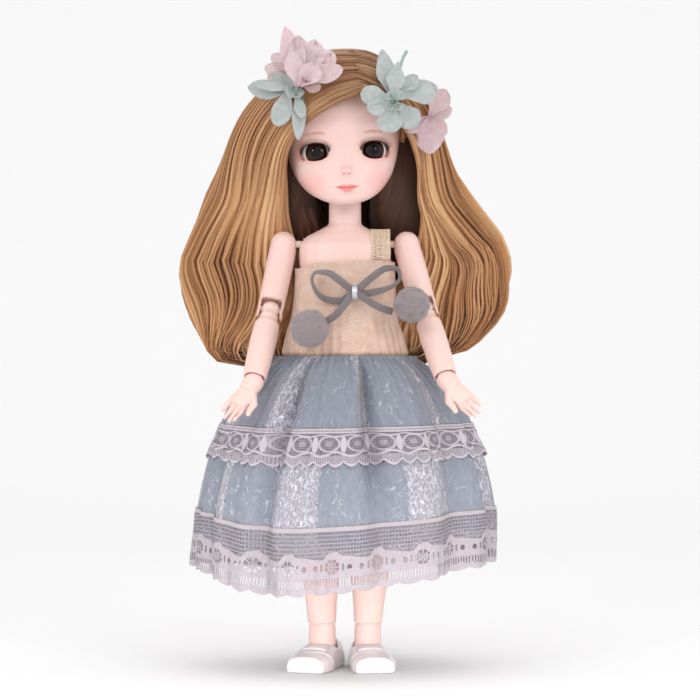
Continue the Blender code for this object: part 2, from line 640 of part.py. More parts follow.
def face_relief(x, z):
    """Return how far the face stands forward of its oval at a place: nose and lips out, eyes in."""
    def bump(across, high, wide, tall):
        return math.exp(-((x - across) / wide) ** 2 - ((z - high) / tall) ** 2)
    nose = NOSE_DEPTH * bump(0, NOSE_HEIGHT, NOSE_WIDTH, NOSE_WIDTH * 1.1)
    bridge = NOSE_DEPTH * 0.45 * bump(0, NOSE_HEIGHT + NOSE_WIDTH * 2, NOSE_WIDTH, NOSE_WIDTH * 3)
    lips = MOUTH_DEPTH * bump(0, MOUTH_HEIGHT, MOUTH_WIDTH, MOUTH_WIDTH / 2)
    inner = EYE_HALF_SPACING * 0.82
    sockets = sum(bump(across, EYE_HEIGHT, EYE_HALF_WIDTH, EYE_HALF_HEIGHT * 1.3) for across in (-inner, inner))
    return nose + bridge + lips - SOCKET_DEPTH * sockets


def head_rings(grow, segments, relief=False, every=1):
    """Return the head's level rings, grown by a thickness, with or without the face's relief."""
    rings = [[Vector((0, -HEAD_HALF_DEPTH * 0.62, 0 - grow))]]
    for share, width, front, back in HEAD_SHARES[::every]:
        z = share * HEAD_HEIGHT
        lift = grow * (2 * share - 1)
        ring = oval(HEAD_HALF_WIDTH * width + grow, HEAD_HALF_DEPTH * front - grow,
                    HEAD_HALF_DEPTH * back + grow, z + lift, segments, front_power=FACE_SQUARENESS)
        if relief:
            for point in ring:
                if point.y < 0:
                    point.y -= face_relief(point.x, point.z)
        rings.append(ring)
    rings.append([Vector((0, HEAD_HALF_DEPTH * 0.04, HEAD_HEIGHT + grow))])
    return rings


def make_eye(side, head, tools):
    """Make an eyeball, its lashes, and the cutters of its opening and socket."""
    sign = SIDES[side]
    centre = Vector((sign * (EYE_HALF_SPACING - EYEBALL_RADIUS * 0.18), -EYEBALL_FORWARD, EYE_HEIGHT))
    place = Matrix.Translation(centre)
    for name, radius, finish_name in ((side + "_eye", EYEBALL_RADIUS, "eye"),
                                      (side + "_socket", EYEBALL_RADIUS + GAP, None)):
        bm = ball(radius, LIMB_SEGMENTS)
        bmesh.ops.transform(bm, matrix=place, verts=bm.verts)
        item = add(name, bm, finish_name, head)
    tools.append(item)
    turns = [2 * math.pi * step / LIMB_SEGMENTS for step in range(LIMB_SEGMENTS)]
    outline = [Vector((sign * EYE_HALF_SPACING + EYE_HALF_WIDTH * math.cos(a), -HEAD_HALF_DEPTH,
                       EYE_HEIGHT + EYE_HALF_HEIGHT * power_of(math.sin(a), 0.8))) for a in turns]
    tools.append(add(side + "_lid_opening", prism(outline, Y_AXIS, EYEBALL_FORWARD - EYEBALL_RADIUS / 2), None, head))
    shape = BVHTree.FromBMesh(loft(head_rings(0, HEAD_SEGMENTS, True)))
    points = []
    for step in range(11):
        angle = math.pi * (0.02 + 0.96 * step / 10)
        x = sign * EYE_HALF_SPACING + (EYE_HALF_WIDTH + LASH_RADIUS * 2) * math.cos(angle)
        z = EYE_HEIGHT + (EYE_HALF_HEIGHT + LASH_RADIUS * 2) * power_of(math.sin(angle), 0.8)
        hit = shape.ray_cast(Vector((x, -HEAD_HALF_DEPTH * 3, z)), Y_AXIS)[0]
        points.append(hit - Y_AXIS * (LASH_RADIUS + GAP * 1.6))
    tube(side + "_lashes", points, LASH_RADIUS, "lash", head, 1)


def tube(name, points, radius, finish_name, parent, resolution, cyclic=False):
    """Make a round tube along points, as a mesh read from a bevelled curve."""
    curve = bpy.data.curves.new(name + "_path", "CURVE")
    curve.dimensions = "3D"
    curve.bevel_depth = radius
    curve.bevel_resolution = resolution
    curve.use_fill_caps = not cyclic
    spline = curve.splines.new("POLY")
    spline.points.add(len(points) - 1)
    for target, point in zip(spline.points, points):
        target.co = (*point, 1)
    spline.use_cyclic_u = cyclic
    path = bpy.data.objects.new(name + "_path", curve)
    bm = bmesh.new()
    bm.from_mesh(path.to_mesh())
    bmesh.ops.remove_doubles(bm, verts=bm.verts, dist=radius / 100)
    bpy.data.objects.remove(path)
    return add(name, bm, finish_name, parent)


def make_head(parts):
    """Make the face shell, the back of the head, the ears and the eyes."""
    neck = parts["neck"]
    head = parts["head"]
    reach = NECK_DOME * 1.6
    ball_and_peg("neck_ball", neck, NECK_PEG, Z_AXIS, reach)
    bore = peg_bore("neck_bore", neck, NECK_PEG, Z_AXIS, reach)
    seat = seat_cutter("neck_seat", neck, NECK_DOME, Z_AXIS, GAP * 6)
    tools = []
    for side in SIDES:
        make_eye(side, head, tools)
    boss_top = reach - GAP
    boss = add("neck_boss", revolve([(0, NECK_DOME / 2), (NECK_SEAT_RADIUS, NECK_DOME / 2),
                                     (NECK_SEAT_RADIUS, boss_top), (0, boss_top)], LIMB_SEGMENTS), None, head)
    hollow = add("head_hollow", loft(head_rings(-HEAD_WALL, LIMB_SEGMENTS, every=2)), None, head)
    far = HEAD_HALF_DEPTH * 2
    top = HEAD_HEIGHT * 2
    back_half = add("head_back_half", block((-far, HEAD_SEAM_BACK, -top), (far, far, top)), None, head)
    front_half = add("head_front_half", block((-far, -far, -top), (far, HEAD_SEAM_BACK + GAP, top)), None, head)
    face = add("face_shell", loft(head_rings(0, HEAD_SEGMENTS, True)), "skin", head)
    cut(face, hollow)
    combine(face, "UNION", boss)
    for side, sign in SIDES.items():
        bm = ball(1, BALL_SEGMENTS)
        lean = Matrix.Rotation(sign * 18 * DEGREE, 4, "Z")
        place = Matrix.Translation((sign * (HEAD_HALF_WIDTH - HEAD_WALL * 0.2), EAR_SIZE.y, EAR_HEIGHT))
        bmesh.ops.transform(bm, matrix=place @ lean @ Matrix.Diagonal((*EAR_SIZE, 1)), verts=bm.verts)
        ear = add(side + "_ear", bm, None, head)
        inside = add(side + "_ear_inside", loft(head_rings(-HEAD_WALL / 2, BODY_SEGMENTS, every=2)), None, head)
        cut(ear, inside)
        combine(face, "UNION", ear)
    cut(face, back_half, *tools, seat, bore)
    cap = add("head_back", loft(head_rings(0, HEAD_SEGMENTS, True)), "skin", head)
    cut(cap, hollow, front_half)


def mane_ring(row, inset, bottom):
    """Return one level ring of the long hair, waved round its outside."""
    share, right, left, front, back = row
    z = MANE_TOP - share * MANE_LENGTH - bottom
    half = MANE_HALF_WIDTH * (left - right) / 2
    centre = MANE_HALF_WIDTH * (left + right) / 2
    ring = oval(half - inset, MANE_BACK * front - (inset and MANE_BACK), MANE_BACK * back - inset, z,
                CLOTH_SEGMENTS * 2 // 3, centre)
    for step, point in enumerate(ring):
        angle = 2 * math.pi * step / len(ring)
        ripple = WAVE_DEPTH * share * math.cos(WAVES * angle + 5 * share)
        if not inset:
            point.x += ripple * math.cos(angle)
            point.y += ripple * math.sin(angle)
    return ring


def make_hair(parts):
    """Make the crown over the head and the long hair, parted into left, right and back masses."""
    neck = parts["neck"]
    head = parts["head"]
    crown = add("hair_crown", loft(head_rings(CROWN_THICKNESS, HEAD_SEGMENTS, every=2)), "hair_crown", head)
    scalp = add("scalp_room", loft(head_rings(GAP, HEAD_SEGMENTS)), None, head)
    far = HEAD_HALF_DEPTH * 3
    turns = [2 * math.pi * step / 24 for step in range(24)]
    middle = HAIRLINE_HEIGHT / 3
    outline = [Vector((HEAD_HALF_WIDTH * 0.98 * math.cos(a), -far / 2 + EAR_SIZE.y,
                       middle + (HAIRLINE_HEIGHT - middle) * math.sin(a))) for a in turns]
    opening = add("face_room", prism(outline, Y_AXIS, far / 2), None, head)
    below = add("nape_room", block((-far, -far, -far), (far, far, CROWN_BOTTOM)), None, head)
    ears = []
    for side, sign in SIDES.items():
        low = (0, -far, -far)
        high = (sign * far, EAR_SIZE.y * 2 + GAP, EAR_HEIGHT + EAR_SIZE.z + GAP)
        low, high = [min(a, b) for a, b in zip(low, high)], [max(a, b) for a, b in zip(low, high)]
        ears.append(add(side + "_ear_room", block(low, high), None, head))
    cut(crown, scalp, opening, below, *ears)
    room = add("crown_room", loft(head_rings(CROWN_THICKNESS + GAP, HEAD_SEGMENTS, every=2)), None, head)
    skirt_room = add("skirt_room", loft(bell_rings(SKIRT_ROWS, SKIRT_CLOTH + GAP * 3)))
    rows = [mane_ring(row, 0, 0) for row in MANE_SHARES]
    low_end = mane_ring(MANE_SHARES[-1], MANE_WALL, OVERRUN)
    inner = [mane_ring(row, MANE_WALL, 0) for row in MANE_SHARES[1:]] + [low_end]
    inner_room = add("mane_room", loft(inner), None, neck)
    edge = MANE_HALF_WIDTH * MANE_PARTING_SHARE
    spans = {"hair_left": (edge, far), "hair_back": (-edge + GAP, edge - GAP), "hair_right": (-far, -edge)}
    for name, (low, high) in spans.items():
        mass = add(name, loft(rows), "hair", neck)
        cut(mass, inner_room, room, skirt_room)
        band = add(name + "_part", block((low, -far, -far * 2), (high, far, far)), None, neck)
        combine(mass, "INTERSECT", band)
    shape = BVHTree.FromBMesh(loft(head_rings(CROWN_THICKNESS, HEAD_SEGMENTS, every=2)))
    for name, flower in FLOWER_SHARES.items():
        make_flower(name, flower, head, shape)


def make_flower(name, flower, head, shape):
    """Make a fabric flower: ruffled petals cut from one disc, on a stalk seated on the hair."""
    azimuth = flower.azimuth * DEGREE
    elevation = flower.elevation * DEGREE
    direction = Vector((math.sin(azimuth) * math.cos(elevation), -math.cos(azimuth) * math.cos(elevation),
                        math.sin(elevation)))
    middle = Vector((0, 0, HEAD_HEIGHT / 2))
    hit, normal = shape.ray_cast(middle, direction)[:2]
    if normal.dot(direction) < 0:
        normal.negate()
    segments = flower.petals * 4
    reach = FLOWER_RADIUS * flower.radius
    stalk = FLOWER_RADIUS * flower.stalk

    def ring(share, under):
        points = []
        for step in range(segments):
            angle = 2 * math.pi * step / segments
            scallop = 1 - 0.26 * share * (1 - abs(math.cos(flower.petals * angle / 2)))
            radius = reach * share * scallop
            ruffle = flower.cup + flower.ruffle * math.cos(flower.petals * angle)
            rise = FLOWER_RADIUS * ruffle * share ** 2
            points.append(Vector((radius * math.cos(angle), radius * math.sin(angle),
                                  stalk + rise - (PETAL_THICKNESS if under else 0))))
        return points

    stalk_share = STALK_RADIUS / reach
    shares = (1.0, 0.6, stalk_share)
    upper = [ring(share, False) for share in reversed(shares)]
    lower = [ring(share, True) for share in shares]
    foot = [Vector((point.x, point.y, 0)) for point in lower[-1]]
    rings = [[Vector((0, 0, stalk))], *upper, *lower, foot]
    seat = hit + normal * GAP
    turn = Z_AXIS.rotation_difference(normal).to_matrix().to_4x4()
    bm = loft(rings)
    bmesh.ops.transform(bm, matrix=Matrix.Translation(seat) @ turn, verts=bm.verts)
    add(name, bm, flower.colour, head)


def make_arm(side, parts):
    """Make one arm from the shoulder to the fingertips."""
    sign = SIDES[side]
    medial = X_AXIS * -sign
    outward = Y_AXIS * -sign
    swing = Matrix.Rotation(-ARM_SWING * DEGREE, 4, "X")
    shoulder = frame(side + "_shoulder", None, (sign * SHOULDER_HALF_SPACING, 0, SHOULDER_HEIGHT), swing)
    reach = SHOULDER_DOME + GAP + TORSO_WALL + GAP
    ball_and_peg(side + "_shoulder_ball", shoulder, SHOULDER_PEG, medial, reach)
    parts["shoulder_bores"].append(peg_bore(side + "_shoulder_bore", shoulder, SHOULDER_PEG, medial, reach))
    cutters = dome_cutters(side + "_shoulder", shoulder, SHOULDER_PEG, medial, outward, SPREAD_RANGE, SHOULDER_DOME)
    arm = frame(side + "_arm", shoulder, turn=Matrix.Rotation(-sign * ARM_SPREADS[side] * DEGREE, 4, "Y"))
    rows = [(share, SHOULDER_DOME * size) for share, size in UPPER_ARM_SHARES]
    rows += [(1.0, ELBOW_OUTER), (1 + ELBOW_EAR / UPPER_ARM_LENGTH, ELBOW_OUTER)]
    upper = limb(side + "_upper_arm", arm, domed(SHOULDER_DOME, rows, UPPER_ARM_LENGTH))
    straight = frame(side + "_elbow_straight", arm, (0, 0, -UPPER_ARM_LENGTH))
    elbow = frame(side + "_elbow", straight, turn=Matrix.Rotation(-ELBOW_BEND * DEGREE, 4, "X"))
    fork = fork_cutters(side + "_elbow", straight, ELBOW_PEG, ELBOW_EAR, ELBOW_OUTER, -Y_AXIS, ELBOW_RANGE)
    cut(upper, *cutters, *fork)
    peg_reach = ELBOW_PEG.ball * 2
    knuckle(side + "_elbow_ball", elbow, ELBOW_PEG, peg_reach)
    top = ELBOW_PEG.ball / 2
    end = FOREARM_LENGTH - SEAT_STEP
    rows = [(0, -top), (ELBOW_PEG.ball - GAP, -top)]
    rows += [(FOREARM_RADIUS * size, -share * FOREARM_LENGTH) for share, size in FOREARM_SHARES]
    rows += [(WRIST_OUTER, -end), (0, -end)]
    forearm = limb(side + "_forearm", elbow, rows)
    turn = Matrix.Rotation(sign * HAND_TURN * DEGREE, 4, "Z")
    wrist = frame(side + "_wrist", elbow, (0, 0, -FOREARM_LENGTH), turn)
    seat = add(side + "_elbow_seat", ball(room_round(ELBOW_PEG.ball)), None, elbow)
    up_reach = WRIST_DOME * 1.6
    cut(forearm, seat, peg_bore(side + "_elbow_bore", elbow, ELBOW_PEG, -Z_AXIS, peg_reach),
        seat_cutter(side + "_wrist_seat", wrist, WRIST_DOME, Z_AXIS),
        peg_bore(side + "_wrist_bore", wrist, WRIST_PEG, Z_AXIS, up_reach))
    ball_and_peg(side + "_wrist_ball", wrist, WRIST_PEG, Z_AXIS, up_reach)
    slots = dome_cutters(side + "_wrist", wrist, WRIST_PEG, Z_AXIS, outward, WRIST_RANGE, WRIST_DOME)
    hand = frame(side + "_hand_frame", wrist, turn=Matrix.Rotation(-sign * HAND_SPREADS[side] * DEGREE, 4, "Y"))
    make_hand(side, sign, hand, slots)


def digit(name, points, radii, flat, parent):
    """Make a round or flattened digit through points, as a cutter to be united with the palm."""
    rings = []
    for index, (point, radius) in enumerate(zip(points, radii)):
        after = points[min(index + 1, len(points) - 1)]
        before = points[max(index - 1, 0)]
        along = (after - before).normalized()
        across = Y_AXIS.cross(along).normalized()
        ring = [point + across * radius * math.cos(a) + Y_AXIS * radius * flat * math.sin(a)
                for a in [2 * math.pi * step / DIGIT_SEGMENTS for step in range(DIGIT_SEGMENTS)]]
        rings.append(ring)
    tip = points[-1] + (points[-1] - points[-2]).normalized() * radii[-1] * 0.7
    base = points[0] - (points[1] - points[0]).normalized() * radii[0] * 0.7
    return add(name, loft([[base], *rings, [tip]]), None, parent)


def make_hand(side, sign, parent, slots):
    """Make a hand: ankle-like dome, flat palm, four fingers and a thumb."""
    cuff = WRIST_DOME * 0.93
    rows = domed(WRIST_DOME, [(0.16, cuff), (0.24, cuff * 0.88), (0.30, 0)], HAND_LENGTH)
    hand = add(side + "_hand", revolve(rows, LIMB_SEGMENTS), "skin", parent)
    palm_half = PALM_WIDTH / 2
    heights = [-HAND_LENGTH * share for share in (0.16, 0.30, 0.46, 0.58)]
    widths = [palm_half * share for share in (0.72, 0.90, 1.0, 0.92)]
    rings = []
    for height, width in zip(heights, widths):
        depth = PALM_THICKNESS / 2
        rings.append(oval(width, -depth, depth, height, BALL_SEGMENTS))
    pieces = [add(side + "_palm", loft(rings), None, parent)]
    for index, length in enumerate(FINGER_SHARES):
        offset = (index - 1.5) * FINGER_SPACING * sign
        start = Vector((offset * 0.95, 0, heights[2]))
        end = Vector((offset * 1.45, 0, -HAND_LENGTH * length + FINGER_RADIUS))
        middle = start.lerp(end, 0.55) + Y_AXIS * FINGER_RADIUS * 0.35
        radii = (FINGER_RADIUS, FINGER_RADIUS * 0.95, FINGER_RADIUS * 0.8)
        pieces.append(digit(side + "_finger_" + str(index), [start, middle, end], radii, 1.05, parent))
    root = Vector((-sign * palm_half * 0.55, 0, heights[0] * 1.3))
    thumb_joint = Vector((-sign * palm_half * 1.35, -FINGER_RADIUS * 0.3, -HAND_LENGTH * 0.42))
    tip = Vector((-sign * palm_half * 1.62, -FINGER_RADIUS * 0.3, -HAND_LENGTH * 0.66))
    radii = (FINGER_RADIUS * 1.3, FINGER_RADIUS * 1.15, FINGER_RADIUS * 0.85)
    pieces.append(digit(side + "_thumb", [root, thumb_joint, tip], radii, 1.1, parent))
    combine(hand, "UNION", *pieces)
    cut(hand, *slots)


def make_bodice():
    """Make the bodice, looser towards the waist, and the one shoulder strap."""
    outer = []
    inner = []
    for share, width, depth in BODICE_SHARES:
        z = HIP_HEIGHT + share * HIP_TO_SHOULDER
        half = BODICE_HALF_WIDTH * width
        deep = BODICE_HALF_DEPTH * depth
        outer.append(oval(half, -deep, deep, z, BODY_SEGMENTS))
        inner.append(oval(half - BODICE_CLOTH, -deep + BODICE_CLOTH, deep - BODICE_CLOTH, z, BODY_SEGMENTS))
    add("bodice", loft(outer + inner[::-1], True), "bodice")
    make_strap()


def make_strap():
    """Make the one shoulder strap, which follows the torso from the bodice's front to its back."""
    shape = BVHTree.FromBMesh(loft(torso_rings(0, 0, 2) + neck_rings(0)))
    centre_height = HIP_HEIGHT + BODICE_TOP_SHARE * HIP_TO_SHOULDER + STRAP_RISE
    rings = []
    for step in range(STRAP_STEPS + 1):
        angle = math.pi * step / STRAP_STEPS
        direction = Vector((0, -math.cos(angle), math.sin(angle)))
        low = []
        high = []
        for side in (-1, 0, 1):
            start = Vector((STRAP_CENTRE + STRAP_BAND / 2 * side, 0, centre_height))
            hit = shape.ray_cast(start, direction)[0]
            low.append(hit + direction * STRAP_LIFT)
            high.append(hit + direction * (STRAP_LIFT + STRAP_THICKNESS))
        rings.append(low + high[::-1])
    add("shoulder_strap", loft(rings), "lace")


def bell(row, angle, offset):
    """Return a point of the skirt's surface, by its row from the waist down and the angle round it."""
    share, wide, deep = BELL_SHARES[row]
    width = SKIRT_HALF_WIDTH * wide + offset
    depth = SKIRT_HALF_DEPTH * deep + offset
    fold = FOLD_DEPTH * min(1, share * 3 + 0.15) * math.cos(SKIRT_FOLDS * angle + 1.1 * math.sin(2 * angle))
    lean = -SKIRT_HALF_WIDTH * LEAN_SHARE * share
    back = SKIRT_HALF_DEPTH * 0.1 * math.sin(math.pi * share)
    x = (width + fold) * math.cos(angle) + lean
    y = (depth + fold) * math.sin(angle) + back
    z = SKIRT_TOP - SKIRT_DROP * share + HEM_RISE * max(0, share - 0.2) * math.cos(2 * angle)
    return Vector((x, y, z))


def bell_rings(rows, offset):
    """Return the rings of the skirt's surface from one row to another."""
    turns = [2 * math.pi * step / CLOTH_SEGMENTS for step in range(CLOTH_SEGMENTS)]
    return [[bell(row, turn, offset) for turn in turns] for row in range(rows[0], rows[1] + 1)]


def cloth_band(name, rows, offset, thickness, finish_name):
    """Make a closed band of cloth between two rows of the bell."""
    outer = bell_rings(rows, offset + thickness)
    return add(name, loft(outer + bell_rings(rows, offset)[::-1], True), finish_name)


def make_skirt():
    """Make the gathered skirt, the lace band round its middle and its lace hem."""
    cloth_band("skirt", SKIRT_ROWS, 0, SKIRT_CLOTH, "skirt")
    cover = SKIRT_CLOTH + LACE_GAP
    cloth_band("lace_band", LACE_ROWS, cover, LACE_THICKNESS, "lace")
    cloth_band("hem_lace", HEM_ROWS, cover, LACE_THICKNESS, "lace")


def make_bow():
    """Make the bow, its silver wrap and the two pompoms on its tails."""
    wrap_radius = KNOT_RADIUS + GAP + WRAP_THICKNESS
    knot = Vector((BOW_OFFSET, -(BODICE_HALF_DEPTH * 1.08 + GAP + wrap_radius), BOW_HEIGHT))
    core = revolve([(0, -KNOT_HALF_LENGTH), (KNOT_RADIUS, -KNOT_HALF_LENGTH), (KNOT_RADIUS, KNOT_HALF_LENGTH),
                    (0, KNOT_HALF_LENGTH)], BALL_SEGMENTS)
    turned_to(core, X_AXIS)
    bmesh.ops.translate(core, verts=core.verts, vec=knot)
    bow = add("bow", core, "cord")
    inner = KNOT_RADIUS + GAP
    rings = [circle(radius, height, BALL_SEGMENTS) for radius, height in
             ((wrap_radius, -WRAP_HALF_LENGTH), (wrap_radius, WRAP_HALF_LENGTH), (inner, WRAP_HALF_LENGTH),
              (inner, -WRAP_HALF_LENGTH))]
    wrap = turned_to(loft(rings, True), X_AXIS)
    bmesh.ops.translate(wrap, verts=wrap.verts, vec=knot)
    add("bow_wrap", wrap, "silver")
    strands = []
    for side, sign in SIDES.items():
        width = LOOP_LENGTH * LOOP_SHARES[side]
        lift = LOOP_LIFTS[side] * DEGREE
        start = knot + X_AXIS * sign * (WRAP_HALF_LENGTH + GAP * 2 + CORD_RADIUS)
        along = Vector((sign * math.cos(lift), 0, math.sin(lift)))
        across = Y_AXIS.cross(along)
        turns = [2 * math.pi * step / 18 for step in range(18)]
        points = [start + along * LOOP_LENGTH * (1 - math.cos(a)) / 2 +
                  across * width / 2 * math.sin(a) * (1 - math.cos(a) / 4) for a in turns]
        strands.append(tube(side + "_loop", points, CORD_RADIUS, None, None, 1, True))
        radius = POMPOM_RADIUS * POMPOM_SHARES[side]
        drop = TAIL_DROPS[side] * DEGREE
        depth = knot.y + KNOT_RADIUS - radius - GAP * 3
        centre = Vector((knot.x + sign * TAIL_LENGTH * math.cos(drop), depth,
                         knot.z - TAIL_LENGTH * math.sin(drop)))
        pompom = bmesh.new()
        bmesh.ops.create_icosphere(pompom, subdivisions=2, radius=radius, matrix=Matrix.Translation(centre))
        pompom.normal_update()
        root = start - Z_AXIS * CORD_RADIUS / 4
        aim = (root - centre).normalized()
        surface = BVHTree.FromBMesh(pompom).ray_cast(root, -aim)[0]
        end = surface + aim * GAP * 2
        sag = Vector((0, -CORD_RADIUS * 2.2, -CORD_RADIUS * 2))
        path = [root + (end - root) * t + sag * math.sin(math.pi * t) * (1 - t) for t in [step / 6 for step in range(7)]]
        strands.append(tube(side + "_tail", path, CORD_RADIUS, None, None, 1))
        add(side + "_pompom", pompom, "pompom")
    combine(bow, "UNION", *strands)


def main():
    """Build the doll."""
    start_empty()
    tilt = Matrix.Rotation(HEAD_TILT * DEGREE, 4, "Y")
    neck = frame("neck", None, (0, 0, NECK_HEIGHT), tilt)
    head = frame("head", neck, turn=Matrix.Rotation(HEAD_TURN * DEGREE, 4, "Z"))
    parts = {"neck": neck, "head": head, "hip_bores": [], "shoulder_bores": []}
    for side in SIDES:
        make_leg(side, parts)
        make_arm(side, parts)
    make_torso(parts)
    make_head(parts)
    make_hair(parts)
    make_bodice()
    make_skirt()
    make_bow()


main()
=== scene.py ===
"""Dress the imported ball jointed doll: skin, painted face, hair, fabric flowers, dress, lace, bow and shoes."""

import logging
import math
from dataclasses import dataclass, field
from enum import Enum
from typing import Callable, Iterable, Sequence

import bmesh
import bpy
import numpy as np
from mathutils import Matrix, Vector
from mathutils.bvhtree import BVHTree


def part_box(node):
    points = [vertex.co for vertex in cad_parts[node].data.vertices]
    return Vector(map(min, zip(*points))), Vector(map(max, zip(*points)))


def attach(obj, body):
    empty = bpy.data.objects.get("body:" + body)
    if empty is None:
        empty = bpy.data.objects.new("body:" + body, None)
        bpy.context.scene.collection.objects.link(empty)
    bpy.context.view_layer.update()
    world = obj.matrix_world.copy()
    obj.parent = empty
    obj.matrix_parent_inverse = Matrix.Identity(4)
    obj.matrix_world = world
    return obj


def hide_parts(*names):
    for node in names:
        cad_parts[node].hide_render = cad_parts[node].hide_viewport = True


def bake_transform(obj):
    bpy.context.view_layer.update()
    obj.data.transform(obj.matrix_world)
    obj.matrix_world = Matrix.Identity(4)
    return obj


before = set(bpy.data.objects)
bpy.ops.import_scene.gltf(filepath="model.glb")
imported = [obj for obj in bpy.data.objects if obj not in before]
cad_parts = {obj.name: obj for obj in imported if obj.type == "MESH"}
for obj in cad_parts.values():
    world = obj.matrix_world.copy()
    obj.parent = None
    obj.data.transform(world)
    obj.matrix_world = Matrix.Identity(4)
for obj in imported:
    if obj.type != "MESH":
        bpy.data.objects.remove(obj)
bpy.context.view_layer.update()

log = logging.getLogger("doll")
Array = np.ndarray
Colour = tuple[float, float, float]
MM = 0.001
DEGREE = math.pi / 180
FULL_TURN = 2 * math.pi
Y_AXIS = Vector((0, 1, 0))


class Side(Enum):
    """The doll's own sides, with the sign of X on each."""

    LEFT = 1
    RIGHT = -1

    @property
    def word(self) -> str:
        """The side's name as nodes and bodies carry it."""
        return self.name.lower()


def moved(shift: Sequence[float]) -> Matrix:
    """A matrix that moves by a shift in metres."""
    return Matrix.Translation(Vector(shift))


def turned(degrees: float, axis: str) -> Matrix:
    """A matrix that turns about an axis by an angle in degrees."""
    return Matrix.Rotation(degrees * DEGREE, 4, axis)


NECK_FRAME = moved((0, 0, 221.94 * MM)) @ turned(-2.5, "Y")
HEAD_FRAME = NECK_FRAME @ turned(3, "Z")


def carried(points: Array, place: Matrix) -> Array:
    """Carry points from a frame to the world.

    Args:
        points: Points whose last axis is X, Y and Z, in metres.
        place: The frame's matrix.

    Returns:
        The carried points, in the same shape.
    """
    matrix = np.array(place)
    return points @ matrix[:3, :3].T + matrix[:3, 3]


def through(stops: Sequence[float], values: Sequence, at: Array | float) -> Array:
    """Read a smooth curve that passes through stops without overshooting.

    Args:
        stops: Rising places of the stops.
        values: One number or one row of numbers for each stop.
        at: The places to read.

    Returns:
        One row of values for each place read, or one number where the values are numbers.
    """
    x = np.asarray(stops, float)
    y = np.asarray(values, float)
    plain = y.ndim == 1
    y = y.reshape(len(x), -1)
    at = np.clip(np.asarray(at, float), x[0], x[-1])
    step = np.diff(x)
    slope = np.diff(y, axis=0) / step[:, None]
    tangent = np.zeros_like(y)
    tangent[0], tangent[-1] = slope[0], slope[-1]
    product = slope[:-1] * slope[1:]
    total = slope[:-1] + slope[1:]
    tangent[1:-1] = np.where(product > 0, 2 * product / np.where(total == 0, 1, total), 0)
    index = np.clip(np.searchsorted(x, at, side="right") - 1, 0, len(x) - 2)
    t = ((at - x[index]) / step[index])[..., None]
    h = step[index][..., None]
    result = (y[index] * (1 + 2 * t) * (1 - t) ** 2 + y[index + 1] * t * t * (3 - 2 * t)
              + h * tangent[index] * t * (1 - t) ** 2 - h * tangent[index + 1] * t * t * (1 - t))
    return result[..., 0] if plain else result


def eased(low: float, high: float, value: Array | float) -> Array:
    """A smooth step from 0 at low to 1 at high."""
    t = np.clip((np.asarray(value, float) - low) / (high - low), 0, 1)
    return t * t * (3 - 2 * t)


def power_of(value: Array, exponent: Array | float) -> Array:
    """Raise sizes to a power and keep their signs."""
    return np.sign(value) * np.abs(value) ** exponent


def unit(vectors: Array) -> Array:
    """Scale vectors to a length of one."""
    return vectors / np.maximum(np.linalg.norm(vectors, axis=-1, keepdims=True), 1e-12)


class Value:
    """A shader socket that takes part in sums."""

    def __init__(self, shader: "Shader", socket: bpy.types.NodeSocket) -> None:
        """Wrap an output socket of a shader."""
        self.shader = shader
        self.socket = socket

    def __add__(self, other: "Value | float") -> "Value":
        """Add."""
        return self.shader.sum("ADD", self, other)

    def __sub__(self, other: "Value | float") -> "Value":
        """Subtract."""
        return self.shader.sum("SUBTRACT", self, other)

    def __rsub__(self, other: float) -> "Value":
        """Subtract from a number."""
        return self.shader.sum("SUBTRACT", other, self)

    def __mul__(self, other: "Value | float") -> "Value":
        """Multiply."""
        return self.shader.sum("MULTIPLY", self, other)

    def __truediv__(self, other: "Value | float") -> "Value":
        """Divide."""
        return self.shader.sum("DIVIDE", self, other)

    def __rtruediv__(self, other: float) -> "Value":
        """Divide a number."""
        return self.shader.sum("DIVIDE", other, self)

    def __pow__(self, other: float) -> "Value":
        """Raise to a power."""
        return self.shader.sum("POWER", self, other)

    __radd__ = __add__
    __rmul__ = __mul__

    def size(self) -> "Value":
        """The value without its sign."""
        return self.shader.sum("ABSOLUTE", self)

    def sine(self) -> "Value":
        """The sine."""
        return self.shader.sum("SINE", self)

    def part(self) -> "Value":
        """The part after the decimal point."""
        return self.shader.sum("FRACT", self)

    def cycle(self, period: float) -> "Value":
        """The distance from the middle of the period that the value lies in."""
        return ((self / period).part() - 0.5) * period

    def wave(self, period: float) -> "Value":
        """A sine wave."""
        return (self * (FULL_TURN / period)).sine()

    def ripple(self, period: float) -> "Value":
        """A wave from 0 to 1."""
        return self.wave(period) * 0.5 + 0.5

    def least(self, other: "Value | float") -> "Value":
        """The smaller of two."""
        return self.shader.sum("MINIMUM", self, other)

    def most(self, other: "Value | float") -> "Value":
        """The larger of two."""
        return self.shader.sum("MAXIMUM", self, other)

    def smooth(self, low: float, high: float) -> "Value":
        """A smooth step from 0 at low to 1 at high, or back where low is the larger."""
        first, last, start, end = (low, high, 0.0, 1.0) if low < high else (high, low, 1.0, 0.0)
        node = self.shader.node("ShaderNodeMapRange", {"interpolation_type": "SMOOTHSTEP"},
                                {0: self, 1: first, 2: last, 3: start, 4: end})
        return Value(self.shader, node.outputs[0])


